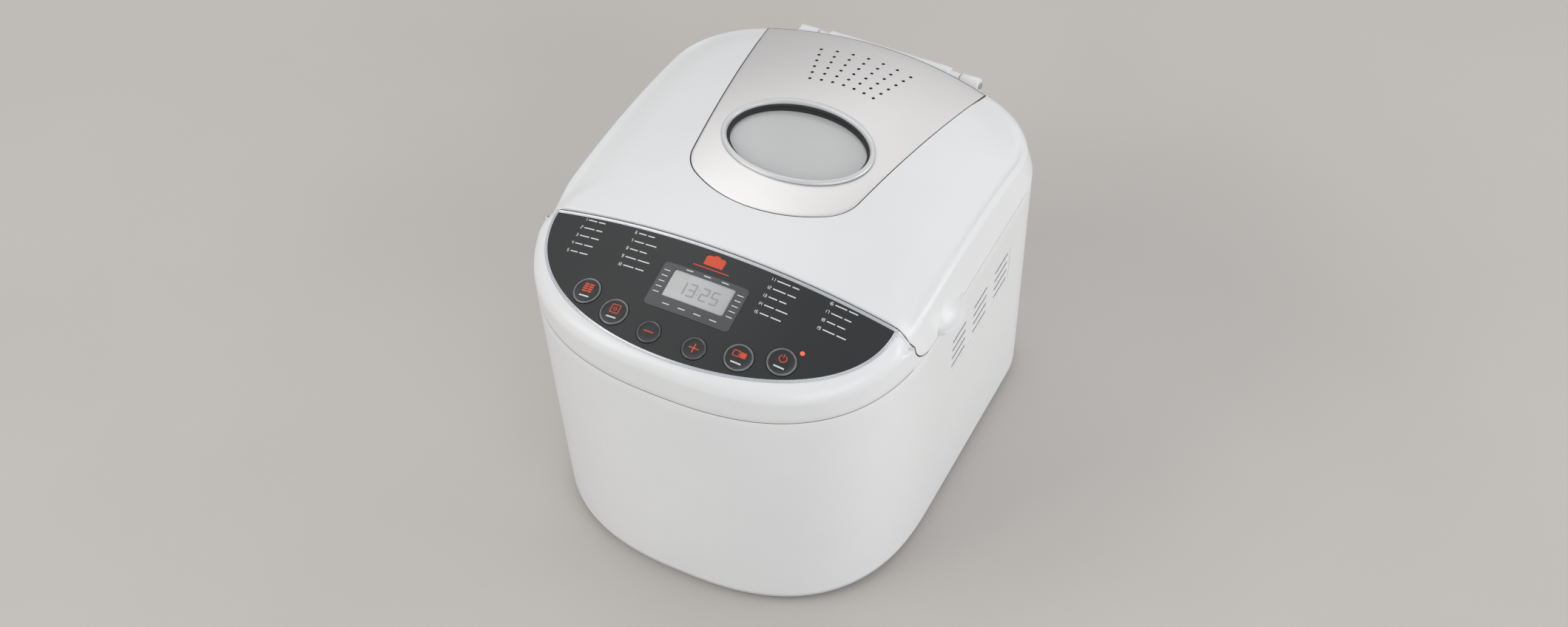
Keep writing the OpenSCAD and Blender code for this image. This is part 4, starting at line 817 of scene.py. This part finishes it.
def deck_shell():
    mid = (0.0, -112.0)
    ins = [30, 24, 19, 16, 13.5, 12, 11, 10, 9, 8, 7, 6, 5, 4, 3.2, 2.5, 1.9, 1.3, 0.8, 0.45, 0.2, 0.05, 0]

    def at(pts, drop):
        return [(x, y, deck_top(x, y) - drop) for x, y in pts]

    def drawn_in(s, drop):
        return at([(x * s, mid[1] + (y - mid[1]) * s) for x, y in shroud_outline(30, 30)], drop)

    rings = [drawn_in(s, 0) for s in (0.2, 0.5, 0.8)]
    rings += [at(shroud_outline(d, d), 0) for d in ins]
    edge = shroud_outline(0, 0)
    for q in (0.1, 0.4, 0.7, 0.97, 1.0):
        pts = shroud_outline(0.25 if q == 1.0 else 0.0, 0)
        rings.append([(x, y, deck_top(*e) + (200.05 - deck_top(*e)) * q) for (x, y), e in zip(pts, edge)])
    rings.append([(x, y, 200.05) for x, y in shroud_outline(2.8, 4)])
    rings.append([(x, y, deck_top(x, y) - 9.5) for x, y in shroud_outline(3.0, 5)])
    rings += [at(shroud_outline(d, d), 4.5) for d in (10, 20, 30)]
    rings += [drawn_in(s, 4.5) for s in (0.8, 0.5, 0.2)]
    return rings_solid(rings, cap_start=(*mid, deck_top(*mid)), cap_end=(*mid, deck_top(*mid) - 4.5))


v, f = deck_shell()
shroud = piece("deck_surround", v, f, "base", "white_body", nodes=("control_shroud",), sharp=36)


def panel_outline(g, n=140):
    e = math.degrees(math.asin(g / (PANEL_D + g)))
    pts = []
    for i in range(n + 1):
        a = math.radians(180 - e + (180 + 2 * e) * i / n)
        pts.append(((PANEL_HW + g) * math.cos(a), PANEL_Y + (PANEL_D + g) * math.sin(a)))
    x0 = pts[-1][0]
    return pts + [(x0 - 2 * x0 * i / 60, pts[-1][1]) for i in range(1, 60)]


def deck_at(up):
    return lambda x, y: deck(x, y) + up / math.cos(TILT)


carve(shroud, [domed_prism(panel_outline(2.05), deck_at(-2.2), deck_at(8), 12)], 36)
carve(shroud, [domed_prism(panel_outline(-1.2), deck_at(-14), deck_at(4), 12)], 36)
for s, side in ((-1, "left"), (1, "right")):
    rows = []
    for i in range(25):
        y = -84.6 + 17.5 * i / 24
        fall = math.sqrt(max(0.0, (SWEEP_R + 1) ** 2 - (y - SWEEP_Y) ** 2))
        top, xo = max(200.3, SWEEP_Z - fall), side_x(y, 0)
        rows.append([(s * 135.2, y, 200.05), (s * xo, y, 200.05), (s * xo, y, top), (s * 135.2, y, top)])
    piece("deck_heel_" + side, *ribbon(rows), "base", "white_body", sharp=36)
# Painted shade: a dark strip just below the seam between lid and shroud.
rows = []
for i in range(121):
    x = -133.5 + 267.0 * i / 120
    z = min(deck_top(x, SHROUD_BACK - 0.6), lid_top(x, LID_FRONT + 1.3)) - 0.7
    rows.append([(x, -83.6, z), (x, -82.4, z), (x, -82.4, z - 3.0), (x, -83.6, z - 3.0)])
piece("seam_shade_strip", *ribbon(rows), "base", "black_plastic", sharp=30)
# Painted shade: dark strips along the quarter-round seams at the front corners.
for s, side in ((-1, "left"), (1, "right")):
    rows = []
    for i in range(31):
        a = math.radians(183 + 84 * i / 30)
        pts = [(SWEEP_Y + q * math.cos(a), SWEEP_Z + q * math.sin(a)) for q in (SWEEP_R + 0.15, SWEEP_R + 0.85)]
        xo = side_x(pts[0][0], 0) - 0.45
        rows.append([(s * 132.5, *pts[0]), (s * xo, *pts[0]), (s * xo, *pts[1]), (s * 132.5, *pts[1])])
    piece("corner_shade_strip_" + side, *ribbon(rows), "base", "black_plastic", sharp=30)
print("shroud faces", len(shroud.data.polygons))

# %% [markdown]
# The panel film and its silver bezel follow the deck. The bezel is a double bead with a groove between,
# of one width all round, after the stepped strips of the real trim.
# %% Bezel and panel


def bezel_mesh():
    prof = [(0.03, -2.0), (0.03, 0.12), (0.16, 0.32), (0.42, 0.36), (0.66, 0.22), (0.8, 0.02), (0.95, -0.02),
            (1.1, 0.12), (1.3, 0.42), (1.6, 0.5), (1.85, 0.42), (1.98, 0.2), (2.0, -0.4), (2.0, -2.0)]
    return rings_solid([[(x, y, deck(x, y) + up) for x, y in panel_outline(g)] for g, up in prof], loop=True)


v, f = bezel_mesh()
piece("bezel_trim", v, f, "base", "bezel_silver", nodes=("panel_bezel",), sharp=60)
v, f = domed_prism(panel_outline(-0.06), deck_at(-2.0), deck_at(0.0), 14)
film = piece("panel_face", v, f, "base", "panel_charcoal", nodes=("control_panel",), sharp=36)
BUTTONS = [("menu_button", -71.4, -55.4, 9.8), ("loaf_button", -45.6, -64.2, 9.8),
           ("minus_button", -16.5, -69.7, 8.2), ("plus_button", 16.5, -69.7, 8.2),
           ("crust_button", 45.6, -64.2, 9.8), ("start_button", 71.4, -55.4, 9.8)]
CT, ST = math.cos(TILT), math.sin(TILT)


def from_panel(x, y, z):
    return (x, PANEL_Y + y * CT - z * ST, PANEL_Z + y * ST + z * CT)


def crowned(x, up):
    return math.sqrt(CROWN_RX ** 2 - x * x) - CROWN_RX + up


def lathe(cx, cy, profile, n=96, closed=True):
    """Turned shape on the panel: profile of radius and height above the crowned deck."""
    rings = []
    for r, up in profile:
        ring = []
        for i in range(n):
            a = 2 * math.pi * i / n
            x, y = cx + r * math.cos(a), cy + r * math.sin(a)
            ring.append(from_panel(x, y, crowned(x, 0) + up))
        rings.append(ring)
    if closed:
        return rings_solid(rings, loop=True)
    return rings_solid(rings, cap_start=from_panel(cx, cy, crowned(cx, 0) + profile[0][1]),
                       cap_end=from_panel(cx, cy, crowned(cx, 0) + profile[-1][1]))


def rounded_pts(cx, cy, hx, hy, r, n=8):
    pts = []
    for k, (sx, sy) in enumerate(((1, 1), (-1, 1), (-1, -1), (1, -1))):
        pts += arc(cx + sx * (hx - r), cy + sy * (hy - r), r, 90 * k, 90 * k + 90, n)
    return pts


def local_prism(outline, low, high):
    n = len(outline)
    verts = [from_panel(x, y, crowned(x, up)) for up in (low, high) for x, y in outline]
    faces = [tuple(reversed(range(n))), tuple(range(n, 2 * n))]
    faces += [(i, (i + 1) % n, n + (i + 1) % n, n + i) for i in range(n)]
    return verts, face_out(verts, faces)


LCD_Y = -34.5
tools = [lathe(x, y, [(r + 0.35, -5), (r + 0.35, 3)], closed=False) for _, x, y, r in BUTTONS]
tools.append(lathe(80.5, -44.3, [(1.6, -5), (1.6, 3)], 32, False))
tools.append(local_prism(rounded_pts(0, LCD_Y, 31.2, 17.0, 3.0), -5, 3))
carve(film, tools, 36)
print("panel faces", len(film.data.polygons))

# %% [markdown]
# Each button is a turned cap: a dished face inside a raised glossy rim, with its retaining flange and stem
# left to the CAD part inside it. The outer pairs' rims get a lighter colour as a painted reflection.
# %% Buttons
for name, x, y, r in BUTTONS:
    cap = [(r, -1.9), (r, 0.35), (r - 0.25, 0.75), (r - 0.7, 0.95), (r - 1.2, 0.86), (r - 1.6, 0.62),
           (r * 0.5, 0.72)]
    v, f = lathe(x, y, cap, closed=False)
    piece(name + "_cap", v, f, name, "panel_charcoal", nodes=(name,), sharp=50)
    rim = [(r - 1.42, 0.6), (r - 1.3, 0.9), (r - 0.95, 1.04), (r - 0.5, 0.98), (r - 0.12, 0.66),
           (r - 0.02, 0.3), (r - 0.5, 0.3)]
    v, f = lathe(x, y, rim)
    piece(name + "_rim", v, f, name, "panel_charcoal", mat=RIM_PAINTED_SHEEN if r > 9 else RIM_DARK, sharp=60)
print("buttons", len(BUTTONS))

# %% [markdown]
# Screen prints are thin raised films. All lettering is left out: programme names become plain bars beside
# their numbers, and the buttons carry simple pictures.
# %% Prints


def bar(x0, y0, x1, y1, w, up0, up1):
    dx, dy = x1 - x0, y1 - y0
    k = math.hypot(dx, dy) or 1
    nx, ny = -dy / k * w / 2, dx / k * w / 2
    pts = []
    for i in range(4):
        t = i / 3
        pts.append((x0 + dx * t - nx, y0 + dy * t - ny))
    for i in range(4):
        t = 1 - i / 3
        pts.append((x0 + dx * t + nx, y0 + dy * t + ny))
    return local_prism(pts, up0, up1)


def ring_print(cx, cy, r, w, a0, a1, up0, up1, n=28):
    return local_prism(arc(cx, cy, r + w / 2, a0, a1, n) + arc(cx, cy, r - w / 2, a1, a0, n), up0, up1)


SEG = {"0": "abcdef", "1": "bc", "2": "abged", "3": "abgcd", "4": "fgbc", "5": "afgcd", "6": "afgedc",
       "7": "abc", "8": "abcdefg", "9": "abcdfg"}


def digit(ch, x, y, h, w, t, up0, up1):
    ends = {"a": (0, h, w, h), "b": (w, h, w, h / 2), "c": (w, h / 2, w, 0), "d": (0, 0, w, 0), "e": (0, h / 2, 0, 0),
            "f": (0, h, 0, h / 2), "g": (0, h / 2, w, h / 2)}
    out = []
    for s in SEG[ch]:
        a, b, c, d = ends[s]
        out.append(bar(x + a, y + b, x + c, y + d, t, up0, up1))
    return out


ON, OFF = 0.0, 0.09
white, num = [], 0
for x0, count in ((-102.0, 5), (-62.0, 5), (39.0, 5), (80.0, 4)):
    for i in range(count):
        num += 1
        x, y = x0, -5.2 - 6.4 * i
        for c in str(num):
            white += digit(c, x, y, 2.1, 1.1, 0.34, ON, OFF)
            x += 1.8
        for length in (random.uniform(5.5, 9.5), random.uniform(4.5, 9.0)):
            white.append(bar(x + 0.9, y + 1.0, x + 0.9 + length, y + 1.0, 0.8, ON, OFF))
            x += length + 1.4
piece("panel_print", *merged(white), "base", "panel_charcoal", mat=PRINT_WHITE)
loaf = [(-6.5, -12.4)] + arc(-4.2, -7.2, 2.6, 200, 60, 10) + arc(0, -6.9, 3.4, 130, 50, 10)
loaf += arc(4.2, -7.2, 2.6, 120, -20, 10) + [(6.5, -12.4)]
badge = [local_prism([(x * 1.05, y * 0.95 + 0.6) for x, y in reversed(loaf)], ON, OFF)]
badge += [bar(-13.0, -13.4, 13.0, -13.4, 0.7, ON, OFF)]
piece("loaf_badge", *merged(badge), "base", "panel_charcoal", mat=PRINT_ORANGE)

side_labels = []
for sx in (-1, 1):
    for i in range(5):
        x, y = sx * 25.6 + 1.2 * sx, LCD_Y + 10.6 - 4.2 * i
        side_labels.append(bar(x - 2.2, y, x + 2.2, y, 0.6, 0.24, 0.3))
for i in range(3):
    side_labels.append(bar(-15 + 13 * i, LCD_Y + 15.2, -10 + 13 * i, LCD_Y + 15.2, 0.7, 0.24, 0.3))
for i in range(4):
    side_labels.append(bar(-18.5 + 11.5 * i, LCD_Y - 12.6, -13.5 + 11.5 * i, LCD_Y - 12.6, 0.7, 0.24, 0.3))
piece("display_labels", *merged(side_labels), "base", "display_surround", mat=PRINT_WHITE)
clock = []
for ch, x in (("1", -14.5), ("3", -7.0), ("2", 2.2), ("5", 9.7)):
    clock += digit(ch, x, LCD_Y - 2.0, 9.0, 4.6, 0.95, -0.5, -0.44)
for yy in (0.6, 4.6):
    clock.append(bar(-0.6, LCD_Y + yy, 0.2, LCD_Y + yy, 0.8, -0.5, -0.44))
piece("clock_digits", *merged(clock), "base", "screen", mat=PRINT_GREY)


def icon(name, parts, mat, tag):
    piece(name + "_" + tag, *merged(parts), name, "panel_charcoal", mat=mat)


for name, x, y, r in BUTTONS:
    lo, hi, orange = 0.7, 0.82, []
    cy = y + (2.2 if r > 9 else 0.0)
    if name == "minus_button":
        orange = [bar(x - 3.4, cy, x + 3.4, cy, 0.8, lo, hi)]
    elif name == "plus_button":
        orange = [bar(x - 3.4, cy, x + 3.4, cy, 0.8, lo, hi), bar(x, cy + 0.45, x, cy + 3.4, 0.8, lo, hi),
                  bar(x, cy - 3.4, x, cy - 0.45, 0.8, lo, hi)]
    elif name == "start_button":
        orange = [ring_print(x, cy, 2.5, 0.6, 120, 420, lo, hi), bar(x, cy + 0.6, x, cy + 3.4, 0.6, lo, hi)]
    elif name == "menu_button":
        for i in range(2):
            for j in range(4):
                spot = rounded_pts(x - 1.9 + 3.8 * i, cy - 2.7 + 1.75 * j, 1.6, 0.6, 0.25, 3)
                orange.append(local_prism(spot, lo, hi))
    elif name == "loaf_button":
        for a, b, c, d in ((-3, -3, 3, -3), (3, -3, 3, 3), (3, 3, -3, 3), (-3, 3, -3, -3)):
            orange.append(bar(x + a, cy + b, x + c, cy + d, 0.6, lo, hi))
        orange.append(ring_print(x, cy - 0.3, 1.1, 0.5, 0, 359, lo, hi))
    else:
        orange = [local_prism(rounded_pts(x + 2.3, cy, 2.0, 2.0, 0.6, 4), lo, hi)]
        for a, b, c, d in ((-4.6, -2, -0.4, -2), (-0.4, -2, -0.4, 2), (-0.4, 2, -4.6, 2), (-4.6, 2, -4.6, -2)):
            orange.append(bar(x + a, cy + b, x + c, cy + d, 0.55, lo, hi))
    icon(name, orange, PRINT_ORANGE, "icon")
    if r > 9:
        icon(name, [bar(x - 3.6, y - 4.2, x + 3.6, y - 4.2, 1.0, lo, hi)], PRINT_WHITE, "label")
print("prints made")

# %% [markdown]
# Plain pale floor and soft studio light: a wide key from the upper left, a fill from the right, a high back
# light that brightens the lid's rear edge, a small one overhead that the brushed insert mirrors, and one that
# opens up the right side. The camera looks down on the front right corner.
# %% Stage, light and camera
bpy.ops.mesh.primitive_plane_add(size=14, location=(0, 0, 0))
floor = bpy.context.object
floor.name = "studio_floor"
floor.data.materials.append(make("Floor paper", (0.56, 0.535, 0.51), (0.54, 0.515, 0.49), (0.75, 0.9), (60, 3, 0.02)))


def area(name, place, target, size, power, color):
    d = bpy.data.lights.new(name, "AREA")
    d.shape, d.size, d.size_y, d.energy, d.color = "RECTANGLE", size[0], size[1], power, color
    o = bpy.data.objects.new(name, d)
    bpy.context.scene.collection.objects.link(o)
    o.location = place
    o.rotation_euler = (Vector(target) - Vector(place)).to_track_quat("-Z", "Y").to_euler()
    return o


area("Key", (-1.5, -1.45, 1.6), (0, 0, 0.15), (1.6, 1.6), 22.5, (1.0, 0.99, 0.97))
area("Fill", (1.9, -1.4, 1.1), (0, 0, 0.12), (1.8, 1.4), 16.5, (0.96, 0.98, 1.0))
area("Back", (0.2, 1.9, 1.7), (0, 0, 0.2), (2.2, 1.2), 5.5, (1.0, 1.0, 1.0))
area("Top", (-0.92, 0.79, 1.83), (0, 0, 0.22), (1.2, 1.2), 5.2, (1.0, 1.0, 1.0))
area("Side", (2.0, 0.7, 0.6), (0.1, 0, 0.12), (1.2, 1.2), 13, (1.0, 1.0, 1.0))
world = bpy.data.worlds.new("Studio")
bpy.context.scene.world = world
world.use_nodes = True
world.node_tree.nodes["Background"].inputs[0].default_value = (0.98, 0.985, 1.0, 1)
world.node_tree.nodes["Background"].inputs[1].default_value = 0.5
bpy.context.scene.view_settings.view_transform = "Standard"

AZIMUTH, ELEVATION, ROLL = math.radians(29.6), math.radians(47.87), math.radians(-3.13)
flat = math.cos(ELEVATION)
back = Vector((math.sin(AZIMUTH) * flat, -math.cos(AZIMUTH) * flat, math.sin(ELEVATION)))
level = Vector((math.cos(AZIMUTH), math.sin(AZIMUTH), 0))
rise = back.cross(level)
right = level * math.cos(ROLL) + rise * math.sin(ROLL)
up = back.cross(right)
cam_data = bpy.data.cameras.new("Camera")
cam_data.lens, cam_data.sensor_width, cam_data.clip_start = 50.86, 36.0, 0.01
cam = bpy.data.objects.new("Camera", cam_data)
bpy.context.scene.collection.objects.link(cam)
place = Vector((0.00896, -0.02262, 0.13153)) + back * 1.5584
cam.matrix_world = Matrix([(right[i], up[i], back[i], place[i]) for i in range(3)] + [(0, 0, 0, 1)])
bpy.context.scene.camera = cam
print("camera", [round(c, 4) for c in place])
